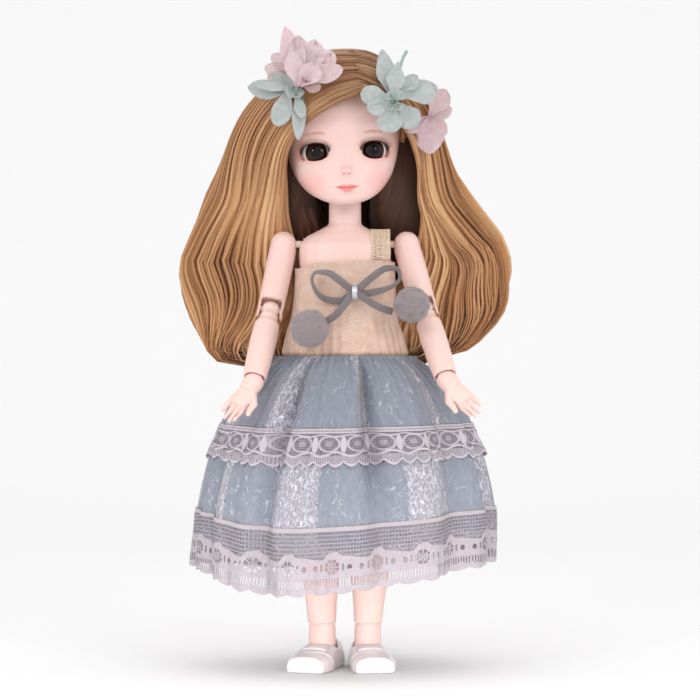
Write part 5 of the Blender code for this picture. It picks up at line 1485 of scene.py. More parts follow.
@dataclass
class Skirt:
    """The gathered skirt with its lace band and lace hem. Sizes are in millimetres."""

    top: float = 150.5
    drop: float = 104.5
    half_width: float = 71.5
    half_depth: float = 54.0
    folds: int = 12
    fold_depth: float = 2.6
    lean: float = 0.02
    hem_rise: float = 4.5
    round_length: float = 440.0
    columns: int = 720
    shares: tuple = ((0.0, 0.44, 0.46), (0.06, 0.56, 0.52), (0.16, 0.70, 0.60), (0.32, 0.83, 0.74), (0.49, 0.92, 0.87),
                     (0.72, 0.99, 0.97), (0.78, 1.0, 0.98), (0.89, 1.0, 1.0), (1.0, 1.0, 1.02))
    valleys: tuple = ((-121, 15.0, 4.6, 0.0, 0.9), (-75, 15.0, 4.4, 0.0, 0.42), (-152, 8.0, 5.0, 0.3, 1.0),
                      (-40, 4.0, 8.0, 0.25, 1.0), (-99, 3.5, 5.0, 0.5, 1.0), (-12, 7.5, 5.0, 0.1, 1.0),
                      (24, 6.5, 6.0, 0.1, 1.0), (58, 7.0, 6.5, 0.05, 0.9), (92, 6.0, 6.0, 0.1, 1.0),
                      (128, 7.5, 6.5, 0.1, 1.0), (165, 6.0, 6.0, 0.15, 1.0), (-176, 4.0, 5.0, 0.2, 1.0))
    top_patches: tuple = ((-60, 20.5), (-98.5, 19.5), (-139, 14), (-176, 17), (146, 17), (110, 17), (74, 17), (38, 17), (2, 17),
                          (-27, 12))
    low_patches: tuple = ((-82, 22.5), (-133, 13.5), (-165, 15), (158, 17), (120, 17), (84, 17), (48, 17), (10, 16), (-28, 17))

    def surface(self, share: Array, angle: Array, offset: float) -> Array:
        """Points of the cloth.

        Args:
            share: Height from the waist down, 0 to 1.
            angle: Angle round the skirt, in radians.
            offset: How far outside the cloth's base the points lie, in millimetres.

        Returns:
            Points in the world, in metres.
        """
        share, angle = np.broadcast_arrays(share, angle)
        sizes = through([row[0] for row in self.shares], [row[1:] for row in self.shares], share)
        wide = self.half_width * sizes[..., 0] + offset
        deep = self.half_depth * sizes[..., 1] + offset
        fold = self.fold_depth * np.minimum(1, 3 * share + 0.15) * np.cos(self.folds * angle + 1.1 * np.sin(2 * angle))
        turn = np.degrees(angle)
        hollow = np.zeros_like(share)
        for centre, depth, width, start, end in self.valleys:
            away = (turn - centre + 180) % 360 - 180
            away = away + 3.0 * np.sin(share * 4 + centre)
            spread = width * (0.75 + 0.55 * share)
            reach = eased(start - 0.12, start + 0.25, share) * (1 - eased(end, end + 0.3, share) * 0.75)
            hollow += depth * np.exp(-(away / spread) ** 2) * reach
        pleat = (0.85 * np.cos(67 * angle + 2 * np.sin(5 * angle)) * np.exp(-share / 0.10)
                 + 0.40 * np.cos(41 * angle + 1.7 * np.sin(3 * angle) + 6 * share) * np.exp(-((share - 0.25) / 0.3) ** 2))
        ripple = 0.8 * np.sin(23 * angle + 2 * np.sin(4 * angle) + 3 * share) * share ** 1.5
        out = fold * 0.7 - hollow * 0.75 + pleat + ripple
        dip = 5.5 * np.exp(-((((turn + 122 + 180) % 360) - 180) / 30) ** 2) - 2.5 * np.exp(-(((turn + 30 + 180) % 360 - 180) / 40) ** 2)
        x = (wide + out) * np.cos(angle) - self.half_width * self.lean * share
        y = (deep + out) * np.sin(angle) + self.half_depth * 0.1 * np.sin(math.pi * share)
        z = self.top - self.drop * share + self.hem_rise * np.maximum(0, share - 0.2) * np.cos(2 * angle)
        z = z - dip * share ** 1.6
        return np.stack([x, y, z], axis=-1) * MM

    def sheet(self, name: str, low: float, high: float, rows: int, offset: float, thickness: float, finish: object,
              slot: str, node: str, ruffle: float = 0.0) -> tuple[bpy.types.Object, Array, Array]:
        """Make one thin closed band of cloth round the bell.

        Args:
            name: The piece's name.
            low: The share of its upper edge.
            high: The share of its lower edge.
            rows: Rows of points down the band.
            offset: How far outside the cloth's base it lies, in millimetres.
            thickness: The cloth's thickness, in millimetres.
            finish: The finish.
            slot: The record's material slot; not used.
            node: The solid that it stands for.
            ruffle: How far its lower edge stands off in small waves, in millimetres.

        Returns:
            The piece, and the shares and angles of its outer points.
        """
        share = np.linspace(low, high, rows)[:, None]
        angle = turns_of(self.columns)[None, :]
        down = (share - low) / (high - low)
        wave = ruffle * eased(0.15, 1.0, down) * (0.5 + 0.5 * np.sin(angle * 58 + 2.0 * np.sin(angle * 7)))
        outer = self.surface(share, angle, offset + thickness)
        normal = unit(np.cross(np.gradient(outer, axis=1), np.gradient(outer, axis=0)))
        normal *= np.sign((normal[..., :2] * outer[..., :2]).sum(axis=-1, keepdims=True))
        outer = outer + normal * (wave * MM)[..., None]
        inner = outer - normal * thickness * MM
        u = np.broadcast_to(angle / (2 * math.pi) * self.round_length, outer.shape[:2])
        v = np.broadcast_to((share - low) * self.drop, outer.shape[:2])
        cloth = Cloth()
        cloth.band(outer, inner, stacked(u, v, 0.0))
        piece = cloth.piece(name, finish, "torso", slot, node)
        return piece, np.broadcast_to(share, outer.shape[:2]), np.broadcast_to(angle, outer.shape[:2])

    def patches(self, share: Array, angle: Array) -> Array:
        """The signed distance to the nearest patch's edge, the run round it and its number, in millimetres."""
        u = np.degrees(angle)
        v = share * self.drop
        best = np.full(share.shape, 1e9)
        run = np.zeros(share.shape)
        number = np.zeros(share.shape)
        rows = ((self.top_patches, 19.0, 23.0), (self.low_patches, 66.0, 21.0))
        for row, (centres, middle, tall) in enumerate(rows):
            for index, (centre, width) in enumerate(centres):
                across = ((u - centre + 180) % 360 - 180) * self.round_length / 360
                down = v - middle - 2.5 * math.sin(index * 2.3)
                ratio = ((np.abs(across) / width) ** 4.2 + (np.abs(down) / tall) ** 4.2) ** (1 / 4.2)
                distance = (ratio - 1) * min(width, tall)
                nearer = distance < best
                best = np.where(nearer, distance, best)
                run = np.where(nearer, np.arctan2(down, across) * width, run)
                number = np.where(nearer, index + 20 * row, number)
        return np.stack([best, run, number], axis=-1)

    def make(self) -> None:
        """Make the skirt and its laces."""
        skirt, share, angle = self.sheet("skirt_cloth", 0.0, 0.86, 120, 0.1, 0.5, PatchFinish(), "skirt", "skirt")
        patches = self.patches(share, angle)
        both = np.concatenate([patches, patches[::-1]], axis=0)
        noted(skirt.data, "patch", both)
        band = self.sheet("lace_band_sheet", 0.315, 0.49, 40, 1.1, 0.22, LaceFinish(LaceKind.BAND), "lace", "lace_band", 1.5)[0]
        hem = self.sheet("lace_hem_sheet", 0.725, 1.0, 60, 1.2, 0.22, LaceFinish(LaceKind.HEM, (0.44, 0.385, 0.42)), "lace", "hem_lace", 0.7)[0]


@dataclass
class Bodice:
    """The knit bodice and its one crocheted strap. Sizes are in millimetres."""

    hips: float = 134.94
    rise: float = 69.3
    half_width: float = 24.0
    half_depth: float = 15.8
    strap_centre: float = 17.0
    strap_half: float = 4.6
    shares: tuple = ((0.23, 1.25, 1.42), (0.36, 1.17, 1.30), (0.50, 1.07, 1.16), (0.72, 1.02, 1.06), (0.87, 1.0, 1.0))

    def cloth(self) -> None:
        """Make the bodice, higher on the strap's side, with soft gathers towards the waist."""
        rows, columns = 110, 240
        angle = turns_of(columns)[None, :]
        up = np.linspace(0, 1, rows)[:, None]
        across = np.cos(angle)
        front = np.clip(-np.sin(angle), 0, 1)
        crest = 0.87 + 0.022 * np.sin(1.2 * across + 0.25) * front - 0.035 * eased(-0.55, -0.95, across)
        share = 0.20 + (crest - 0.20) * up
        sizes = through([row[0] for row in self.shares], [row[1:] for row in self.shares], share)
        gather = 0.45 * np.cos(37 * angle + 2 * np.sin(3 * angle) + 3 * share) * eased(0.62, 0.25, share)
        drape = 0.5 * np.cos(9 * angle + 7 * share) * eased(0.75, 0.35, share)
        rim = 0.35 * np.exp(-((1 - up) / 0.035) ** 2) - 1.3 * eased(0.25, 0.215, share)
        loops = []
        for offset in (0.0, -0.7):
            wide = self.half_width * sizes[..., 0] + gather + drape + rim + offset
            deep = self.half_depth * sizes[..., 1] + gather + drape + rim + offset
            loops.append(np.stack([wide * np.cos(angle), deep * np.sin(angle), self.hips + share * self.rise], axis=-1))
        outer, inner = loops
        cloth = Cloth()
        cloth.band(outer * MM, inner * MM, stacked(angle * 21.0, outer[..., 2], 0.0))
        piece = cloth.piece("bodice_cloth", KnitFinish(), "torso", "bodice", "bodice")

    def strap(self) -> None:
        """Crochet the strap: two chain edges joined by crossing loops, laid over the shoulder."""
        low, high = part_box("shoulder_strap")
        graph = bpy.context.evaluated_depsgraph_get()
        solid = BVHTree.FromObject(bpy.data.objects["shoulder_strap"], graph)
        centre = Vector((self.strap_centre * MM, (low[1] + high[1]) / 2, low[2]))
        line = []
        for step in range(61):
            angle = math.pi * (0.02 + 0.96 * step / 60)
            way = Vector((0, -math.cos(angle), math.sin(angle)))
            hit, normal = solid.ray_cast(centre + way * 0.2, -way)[:2]
            if hit is not None:
                line.append((np.array(hit), np.array(way)))
        points = np.array([item[0] for item in line])
        ways = np.array([item[1] for item in line])
        evened(points, 4)
        length = run_of(points)
        fine = np.linspace(0, length[-1], 420)
        path, way = (stacked(*(np.interp(fine, length, column) for column in rows.T)) for rows in (points, ways))
        way = unit(way)
        aside = np.array((1.0, 0.0, 0.0))
        crochet = Cloth()
        turns = fine / MM * 2 * math.pi / 2.3
        for edge in (-1, 1):
            for phase in (0, math.pi):
                weave = path + aside * (edge * (self.strap_half - 0.55) + 0.38 * np.sin(turns + phase))[:, None] * MM \
                    + way * (0.28 * np.cos(turns + phase) - 0.5)[:, None] * MM
                crochet.cord(weave, 0.34 * MM, 6)
        for phase in (0, math.pi / 2, math.pi, 3 * math.pi / 2):
            weave = path + aside * ((self.strap_half - 0.9) * np.sin(turns * 0.5 + phase))[:, None] * MM \
                + way * (0.25 * np.cos(turns + phase) - 0.6)[:, None] * MM
            crochet.cord(weave, 0.30 * MM, 6)
        crochet.piece("shoulder_strap_crochet", PlainFinish("strap_yarn", (0.84, 0.70, 0.54), (0.68, 0.50, 0.36), 0.85,
                                                            sheen=0.3, scale=2500, depth=0.0001),
                      "torso", "lace", "shoulder_strap")

    def make(self) -> None:
        """Make the bodice and the strap."""
        self.strap()
        self.cloth()


@dataclass
class Bow:
    """The flat suede bow, its silver wrap and the two felt pompoms. Sizes are in millimetres."""

    knot: tuple = (4.6, -20.4, 181.0)
    cord_half: float = 1.75
    cord_flat: float = 0.36
    hairs: int = 2600

    def strand(self, stops: Sequence[Sequence[float]], count: int, lean: float) -> tuple[Array, Array]:
        """Run one length of cord through stops, its flat side turned towards the front at the ends.

        Args:
            stops: Points about the knot, in millimetres.
            count: The number of points.
            lean: How far the cord's flat side turns sideways at the middle, from 0 to 1.

        Returns:
            The tube's grid, and the places of its points.
        """
        run = np.linspace(0, 1, len(stops))
        t = np.linspace(0, 1, count)
        path = (through(run, stops, t) + np.array(self.knot)) * MM
        evened(path, 6)
        front = np.array((0.0, -1.0, 0.0))
        along = unit(np.gradient(path, axis=0))
        aside = unit(np.cross(along, front))
        blend = (lean * np.sin(math.pi * t) ** 2)[:, None]
        up = unit(front * (1 - blend) + aside * blend)
        grid, wide = tube(path, self.cord_half * MM, 14, self.cord_flat, up)
        squared = np.linspace(0, 1, count)[:, None] * 60
        return grid, stacked(wide / MM, squared, 0.0)

    def cords(self) -> None:
        """Tie the bow."""
        bow = Cloth()
        left = ((1.0, -0.4, 0.4), (8.0, -2.4, 6.6), (15.5, -2.8, 11.2), (20.6, -1.6, 10.4), (21.6, 0.8, 6.6),
                (18.2, 1.4, 2.8), (11.5, 0.8, 0.4), (5.0, 0.2, -0.8), (1.0, 0.0, -0.6))
        right = ((-1.0, -0.4, 0.4), (-7.0, -2.4, 5.2), (-13.0, -2.8, 9.0), (-18.2, -1.8, 9.3), (-20.4, 0.8, 5.8),
                 (-18.6, 1.4, 0.6), (-13.6, 0.9, -3.6), (-7.0, 0.4, -4.4), (-1.0, 0.0, -1.0))
        for stops in (left, right):
            grid, places = self.strand(stops, 90, 0.72)
            bow.grid(grid, places, around=True, capped=True)
        tails = (((1.0, -1.2, -0.6), (6.0, -2.4, -4.2), (12.0, -2.6, -7.6), (18.0, -1.6, -9.6)),
                 ((-1.0, -1.2, -0.6), (-5.0, -2.6, -6.5), (-9.5, -2.9, -11.6), (-14.0, -2.6, -14.4)))
        for stops in tails:
            grid, places = self.strand(stops, 40, 0.1)
            bow.grid(grid, places, around=True, capped=True)
        bow.piece("bow_cord", FeltFinish("suede_cord", (0.13, 0.105, 0.108), (0.24, 0.20, 0.205), 1400), "torso", "cord",
                  "bow")

    def wrap(self) -> None:
        """Wrap the knot with a narrow silver thread band."""
        wrap = Cloth()
        centre = np.array(self.knot) + np.array((0, -0.3, -0.3))
        turns = 5
        t = np.linspace(0, 1, 200)
        angle = t * turns * 2 * math.pi
        x = centre[0] + (t - 0.5) * 2.4
        radius_y, radius_z = 2.45, 3.3
        path = np.stack([x, centre[1] + radius_y * np.cos(angle), centre[2] + radius_z * np.sin(angle)], axis=-1) * MM
        wrap.cord(path, 0.34 * MM, 8)
        rows = []
        for offset in (-1.25, 1.25):
            ring = turns_of(40)
            rows.append(stacked(centre[0] + offset, centre[1] + 2.4 * np.cos(ring), centre[2] + 3.2 * np.sin(ring)) * MM)
        wrap.grid(np.stack(rows), around=True, capped=True)
        wrap.piece("bow_wrap_thread", PlainFinish("silver_thread", (0.78, 0.78, 0.82), (0.55, 0.55, 0.60), 0.28, 0.85,
                                                  scale=2600), "torso", "silver", "bow_wrap")

    def pompom(self, side: Side) -> None:
        """Make one felt pompom: a lumpy ball with a short nap of fibres."""
        node = side.word + "_pompom"
        low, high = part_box(node)
        centre = (np.array(low) + np.array(high)) / 2
        radius = float(min(np.array(high) - np.array(low))) / 2
        random = np.random.default_rng(5 + side.value)
        felt = Cloth()
        ball = globe(60, 90)
        lumps = sum(0.006 * np.sin(ball @ random.normal(0, 9, 3) + random.uniform(0, 6)) for _ in range(9))
        felt.grid(centre + ball * (radius * (0.975 + lumps))[..., None], around=True, capped=True)
        ways = unit(random.normal(0, 1, (self.hairs, 3)))
        t = np.linspace(0, 1, 4)[:, None]
        for way in ways:
            root = centre + way * radius * 0.96
            tip = unit(way + random.normal(0, 0.75, 3)) * random.uniform(0.5, 1.1) * MM
            path = root + tip * t + way * 0.15 * MM * t * t
            felt.cord(path, 0.055 * MM * (1.05 - t[:, 0]), 3)
        piece = felt.piece(side.word + "_pompom_felt", FeltFinish("pompom_felt", (0.205, 0.165, 0.17), (0.335, 0.28, 0.29)),
                           "torso", "pompom", node, tidy=False)

    def make(self) -> None:
        """Make the bow, its wrap and its pompoms."""
        self.cords()
        self.wrap()
        for side in Side:
            self.pompom(side)


@dataclass(frozen=True)
class Petal:
    """One petal, from its root to its tip. Places are in the world and sizes in millimetres."""

    root: tuple
    tip: tuple
    width: float
    point: float
    cup: float
    ruffle: float


@dataclass
class Flowers:
    """The fabric flowers and the net in the hair."""

    thickness: float = 0.3
    pink_right: tuple = (
        ((-20.1, -35, 278.6), (-28.5, -27, 306.2), 14, 0.8, 1.4, 0.5),
        ((-19.7, -35, 278.6), (-21.7, -28, 302.0), 12.5, 0.15, 1.8, 1.3),
        ((-19.2, -35.5, 279.0), (-13.6, -29, 299.8), 12.5, 0.05, 2.0, 1.4),
        ((-18.7, -36, 279.0), (-5.6, -30.5, 293.8), 11.5, 0.0, 2.2, 1.3),
        ((-19.6, -37, 279.8), (-0.9, -34.5, 285.7), 10.5, 0.3, 2.0, 0.8),
        ((-21.0, -37.5, 276.6), (-13.0, -37.5, 287.5), 12, 0.15, 1.5, 1.2),
        ((-22.0, -36.5, 276.6), (-25.3, -34, 293.9), 10, 0.4, 1.2, 0.6))
    mint_right: tuple = (
        ((-24.4, -32, 274.7), (-46.1, -25, 277.8), 10.5, 0.15, 1.8, 0.7),
        ((-23.9, -33.5, 275.5), (-42.8, -30, 279.1), 5, 0.1, 1.6, 0.3),
        ((-25.9, -31, 276.7), (-32.3, -35, 258.4), 10.5, 0.15, 1.6, 0.7),
        ((-21.1, -33, 277.4), (-21.9, -38, 251.6), 7.5, 0.5, 2.4, 0.5),
        ((-22.5, -32, 275.6), (-34.4, -27, 283.2), 9, 0.1, 1.2, 0.6),
        ((-23.0, -34.5, 273.5), (-19.6, -37.5, 262.0), 6, 0.3, 2.0, 0.4),
        ((-24.0, -33.5, 276.8), (-20.6, -36.6, 272.0), 6.5, 0.1, 1.2, 0.5),
        ((-22.4, -33.5, 277.2), (-27.0, -35.6, 272.6), 6.5, 0.1, 1.2, 0.5))
    mint_left: tuple = (
        ((21.7, -34, 271.7), (17.5, -26, 295.6), 10.5, 0.6, 2.0, 0.4),
        ((22.6, -35.5, 271.5), (25.2, -31, 289.4), 10.5, 0.95, 1.6, 0.3),
        ((21.2, -35, 271.1), (7.3, -35.5, 274.3), 10.5, 0.1, 1.6, 0.8),
        ((21.6, -36, 269.1), (10.4, -38, 266.1), 9, 0.1, 1.4, 0.8),
        ((22.6, -36, 268.7), (19.7, -38.5, 254.9), 12, 0.0, 1.6, 1.0),
        ((25.4, -35.5, 268.7), (33.9, -34, 258.0), 11.5, 0.0, 1.6, 1.0),
        ((25.9, -34.5, 271.6), (43.6, -25, 278.2), 13.5, 0.0, 1.8, 1.0),
        ((26.4, -34, 274.0), (34.1, -27, 283.2), 8, 0.2, 1.8, 0.6),
        ((23.0, -36, 270.5), (20.2, -38.5, 274.0), 5.5, 0.2, 1.6, 0.5),
        ((24.0, -36, 270.5), (27.2, -38.5, 274.0), 5.5, 0.2, 1.6, 0.5),
        ((24.0, -36, 269.1), (26.7, -38.5, 266.1), 5.5, 0.2, 1.6, 0.5),
        ((23.0, -36, 269.1), (19.7, -38.5, 266.6), 5.5, 0.2, 1.6, 0.5))
    pink_left: tuple = (
        ((40.6, -15, 264.9), (48.3, -12, 278.1), 11, 0.1, 1.6, 0.8),
        ((39.6, -16, 263.9), (51.3, -10, 269.2), 8, 0.2, 1.4, 0.7),
        ((39.1, -17, 264.8), (40.5, -16, 246.7), 17, 0.55, 1.6, 1.0),
        ((38.1, -18, 263.7), (28.5, -22, 257.2), 8, 0.3, 1.4, 0.6),
        ((40.5, -16, 263.9), (48.8, -11, 256.7), 9, 0.3, 1.4, 0.8))
    net: tuple = (
        ((-23.1, -28, 283.6), (-34.7, -20, 293.9), 8, 0.1, 1.0, 0.4),
        ((-23.1, -28, 282.6), (-38.0, -19, 288.3), 9, 0.1, 1.0, 0.4),
        ((-23.1, -28, 281.7), (-37.0, -20, 283.0), 8, 0.1, 1.0, 0.4),
        ((-21.0, -37, 277.9), (-11.2, -38.5, 275.9), 6.5, 0.1, 1.0, 0.3))
    stem: tuple = ((25.0, -32.0, 272.0), (25.8, -30.0, 284.0), (27.2, -29.0, 290.5), (29.2, -28.6, 294.4))

    def petal(self, cloth: Cloth, petal: Petal, number: int) -> None:
        """Add one petal: narrow at its root, cupped along its middle and ruffled at its rim.

        Args:
            cloth: The cloth that it is added to.
            petal: Its sizes.
            number: Its number, which sets its ruffles.
        """
        rows, columns = 26, 17
        root, tip = np.array(petal.root, float), np.array(petal.tip, float)
        length = float(np.linalg.norm(tip - root))
        along = (tip - root) / length
        front = np.array((0.12 * math.sin(number * 2.1), -1.0, 0.3))
        face = unit(front - along * front.dot(along))
        aside = np.cross(along, face)
        t = 1 - (1 - np.linspace(0, 1, rows)[:, None]) ** 1.7
        s = np.linspace(-1, 1, columns)[None, :]
        round_end = np.sqrt(np.clip(1 - ((t - 0.62) / 0.38).clip(0, 1) ** 2, 0, 1))
        pointed_end = 1 - ((t - 0.45) / 0.55).clip(0, 1) ** 1.2
        end = round_end * (1 - petal.point) + pointed_end * petal.point
        half = petal.width / 2 * (0.22 + 0.78 * eased(0.0, 0.62, t)) * np.maximum(end, 0.04)
        wave = petal.ruffle * np.sin(s * 3.3 + t * 5 + number * 1.9) * np.abs(s) ** 1.5 * eased(0.25, 0.9, t)
        rim = 0.5 * petal.ruffle * np.cos(s * 7 + number) * eased(0.75, 1.0, t)
        lift = petal.cup * (s ** 2 * (1 - t) * np.minimum(end, 1) - np.sin(math.pi * t) * 0.8) + (wave + rim) * end
        lengthwise = t * length * (1 - 0.06 * petal.ruffle * (0.5 + 0.5 * np.cos(s * 6 + number)) * t * (1 - petal.point))
        middle = root + along * lengthwise[..., None] + aside * (half * s)[..., None]
        top = middle + face * (lift + self.thickness / 2)[..., None]
        under = middle + face * (lift - self.thickness / 2)[..., None]
        loop = np.concatenate([top, under[:, ::-1]], axis=1)
        u = half * s + number * 11.0
        places = stacked(u, t * length, number * 3.0)
        cloth.grid(loop * MM, np.concatenate([places, places[:, ::-1]], axis=1), around=True, capped=True)

    def flower(self, name: str, rows: Sequence[tuple], finish: object, slot: str, node: str, share: float = 0.68,
               stem: bool = False) -> None:
        """Make one flower.

        Args:
            name: The piece's name.
            rows: Its petals.
            finish: Its finish.
            slot: The record's material slot; not used.
            node: The solid that it stands for.
            share: The share of each petal's length by width that is cloth.
            stem: Add a short wire stem behind the petals.
        """
        cloth = Cloth()
        petals = [Petal(*row) for row in rows]
        for number, petal in enumerate(petals):
            self.petal(cloth, petal, number)
        area = sum(petal.width * math.dist(petal.root, petal.tip) for petal in petals) * share * MM * MM
        long = max(math.dist(petal.root, petal.tip) for petal in petals) * MM
        if stem:
            path = through(np.linspace(0, 1, len(self.stem)), self.stem, np.linspace(0, 1, 30)) * MM
            cloth.cord(path, np.linspace(0.5, 0.9, 30) * MM, 10)
        piece = cloth.piece(name, finish, "head", slot, node)
        round(area / long, 5)

    def make(self) -> None:
        """Make the flowers and the net."""
        pink = PetalFinish("petal_pink", (0.62, 0.455, 0.485), (0.69, 0.56, 0.585), (0.63, 0.40, 0.455))
        mint = PetalFinish("petal_mint", (0.39, 0.425, 0.42), (0.51, 0.54, 0.54), (0.29, 0.43, 0.365))
        self.flower("flower_pink_right_petals", self.pink_right, pink, "pink_petal", "flower_pink_right")
        self.flower("flower_mint_right_petals", self.mint_right, mint, "mint_petal", "flower_mint_right")
        self.flower("flower_mint_left_petals", self.mint_left, mint, "mint_petal", "flower_mint_left", stem=True)
        self.flower("flower_pink_left_petals", self.pink_left, pink, "pink_petal", "flower_pink_left")
        self.flower("tulle_net_folds", self.net, TulleFinish(), "tulle", "tulle_fan")


@dataclass
class Figure:
    """The limbs, hands, feet and torso under the dress, rounded and softened from the solids.

    Sizes are in millimetres and angles in degrees.
    """

    segments: int = 12
    voxel: float = 0.42
    hand_voxel: float = 0.30
    shoulder: tuple = (29.5, 0.0, 204.24)
    shoulder_turn: float = -11.0
    arm_spreads: dict = field(default_factory=lambda: {Side.LEFT: 15.0, Side.RIGHT: 11.0})
    upper_arm: float = 33.0
    elbow_turn: float = -20.0
    forearm: float = 41.0
    hand_turn: float = 12.0
    hand_spreads: dict = field(default_factory=lambda: {Side.LEFT: 24.0, Side.RIGHT: 22.0})
    hip: tuple = (14.8, 0.0, 134.94)
    leg_tilt: float = 1.88
    segment: float = 58.0
    foot_turns: dict = field(default_factory=lambda: {Side.LEFT: 7.0, Side.RIGHT: 18.0})
    ankle_spacing: float = 11.0

    def frames(self, side: Side) -> dict[str, tuple[Matrix, float]]:
        """The frame of each round limb, and the radius within which its hollows lie."""
        sign = side.value
        x, y, z = self.shoulder
        shoulder = moved(Vector((sign * x, y, z)) * MM) @ turned(self.shoulder_turn, "X")
        arm = shoulder @ turned(-sign * self.arm_spreads[side], "Y")
        elbow = arm @ moved((0, 0, -self.upper_arm * MM)) @ turned(self.elbow_turn, "X")
        wrist = elbow @ moved((0, 0, -self.forearm * MM)) @ turned(sign * self.hand_turn, "Z")
        hand = wrist @ turned(-sign * self.hand_spreads[side], "Y")
        x, y, z = self.hip
        leg = moved(Vector((sign * x, y, z)) * MM) @ turned(sign * self.leg_tilt, "Y")
        knee = leg @ moved((0, 0, -self.segment * MM))
        foot = moved((sign * self.ankle_spacing * MM, 0, 0)) @ turned(sign * self.foot_turns[side], "Z")
        return {"upper_arm": (arm, 5.0), "forearm": (elbow, 4.2), "hand": (hand, 99.0), "thigh": (leg, 7.0),
                "calf": (knee, 5.6), "foot": (foot, 5.2)}

    def softened(self, node: str, body: str, voxel: float, rounds: int,
                 shape: Callable[[Array], Array] | None = None) -> bpy.types.Object:
        """Copy a solid, reshape it, and round its edges.

        Args:
            node: The solid.
            body: The body that it rides on.
            voxel: The size of its mesh, in millimetres.
            rounds: How often its points are drawn together.
            shape: Moves its points, given and returned in metres.

        Returns:
            The piece.
        """
        name = node + "_skin"
        source = bpy.data.objects[node]
        mesh = bpy.data.meshes.new(name)
        bm = bmesh.new()
        bm.from_mesh(source.data)
        bmesh.ops.remove_doubles(bm, verts=bm.verts, dist=1e-7)
        bmesh.ops.triangulate(bm, faces=bm.faces)
        bm.to_mesh(mesh)
        bm.free()
        piece = shown(name, mesh)
        if shape is None:
            finer(piece, voxel, rounds)
        else:
            finer(piece, voxel)
            points = shape(points_of(piece.data).astype(float))
            piece.data.vertices.foreach_set("co", points.astype(np.float32).ravel())
            finer(piece, voxel, rounds)
        smoothed(piece.data)
        return worn(piece, SKIN, body, "skin", node)

    def rounder(self, frame_matrix: Matrix, hollow: float) -> Callable[[Array], Array]:
        """Return a shape that turns a limb's flat facets into a round skin.

        Args:
            frame_matrix: The limb's frame.
            hollow: The radius within which nothing moves, in millimetres.

        Returns:
            The shape.
        """
        def shape(points: Array) -> Array:
            local = carried(points, frame_matrix.inverted()) / MM
            radius = np.hypot(local[:, 0], local[:, 1])
            step = 2 * math.pi / self.segments
            turn = np.mod(np.arctan2(local[:, 1], local[:, 0]), step) - step / 2
            grow = np.cos(turn) / math.cos(step / 2)
            grow = 1 + (grow - 1) * eased(hollow - 0.6, hollow, radius)
            local[:, :2] *= grow[:, None]
            return carried(local * MM, frame_matrix)
        return shape

    def instep(self, frame_matrix: Matrix, hollow: float) -> Callable[[Array], Array]:
        """Return a shape that rounds the ankle and lets the instep fill the shoe's opening."""
        rounded = self.rounder(frame_matrix, hollow)

        def shape(points: Array) -> Array:
            local = carried(rounded(points), frame_matrix.inverted()) / MM
            x, y, z = local.T
            near = np.sqrt((x / 6.0) ** 2 + ((y + 12.7) / 4.2) ** 2)
            local[:, 2] += 1.75 * eased(1.0, 0.72, near) * eased(-12.7, -13.4, y) * eased(6.5, 8.0, z)
            return carried(local * MM, frame_matrix)
        return shape

    def closed_hand(self, side: Side, frame_matrix: Matrix) -> Callable[[Array], Array]:
        """Return a shape that draws a hand's fingers together.

        Args:
            side: The side.
            frame_matrix: The hand's frame.

        Returns:
            The shape.
        """
        def shape(points: Array) -> Array:
            local = carried(points, frame_matrix.inverted()) / MM
            across, height = local[:, 0] * side.value, local[:, 2]
            fingers = (across > -6.9) | (height < -17.7)
            near = through((-26.0, -20.0, -14.0, -11.0), (0.66, 0.76, 0.97, 1.0), np.clip(height, -26, -11))
            local[:, 0] = np.where(fingers, local[:, 0] * near, local[:, 0])
            thumb = (across < -5.0) & (height < -7.5)
            local[:, 0] += np.where(thumb, side.value * 1.1 * eased(-9.0, -15.0, height), 0)
            return carried(local * MM, frame_matrix)
        return shape

    def make(self) -> None:
        """Make the skin pieces, and dress the joints."""
        for side in Side:
            for limb, (frame_matrix, hollow) in self.frames(side).items():
                node = side.word + "_" + limb
                if limb == "hand":
                    self.softened(node, node, self.hand_voxel, 5, self.closed_hand(side, frame_matrix))
                elif limb == "foot":
                    self.softened(node, node, self.voxel, 7, self.instep(frame_matrix, hollow))
                else:
                    self.softened(node, node, self.voxel, 7, self.rounder(frame_matrix, hollow))
        for node in ("torso_front", "torso_back"):
            self.softened(node, "torso", 0.5, 14)
        plastic = PlainFinish("joint_plastic", (0.86, 0.70, 0.62), (0.78, 0.58, 0.50), 0.45)
        for name in ("neck", *(side.word + joint for side in Side
                               for joint in ("_shoulder", "_elbow", "_wrist", "_hip", "_knee", "_ankle"))):
            dress_node(name + "_ball", plastic)
        dress_node("head_back", SKIN)


def dress_node(node: str, finish: object) -> None:
    """Put a finish on a solid that stays in view."""
    for place in bpy.data.objects[node].material_slots:
        place.material = dressed(finish)


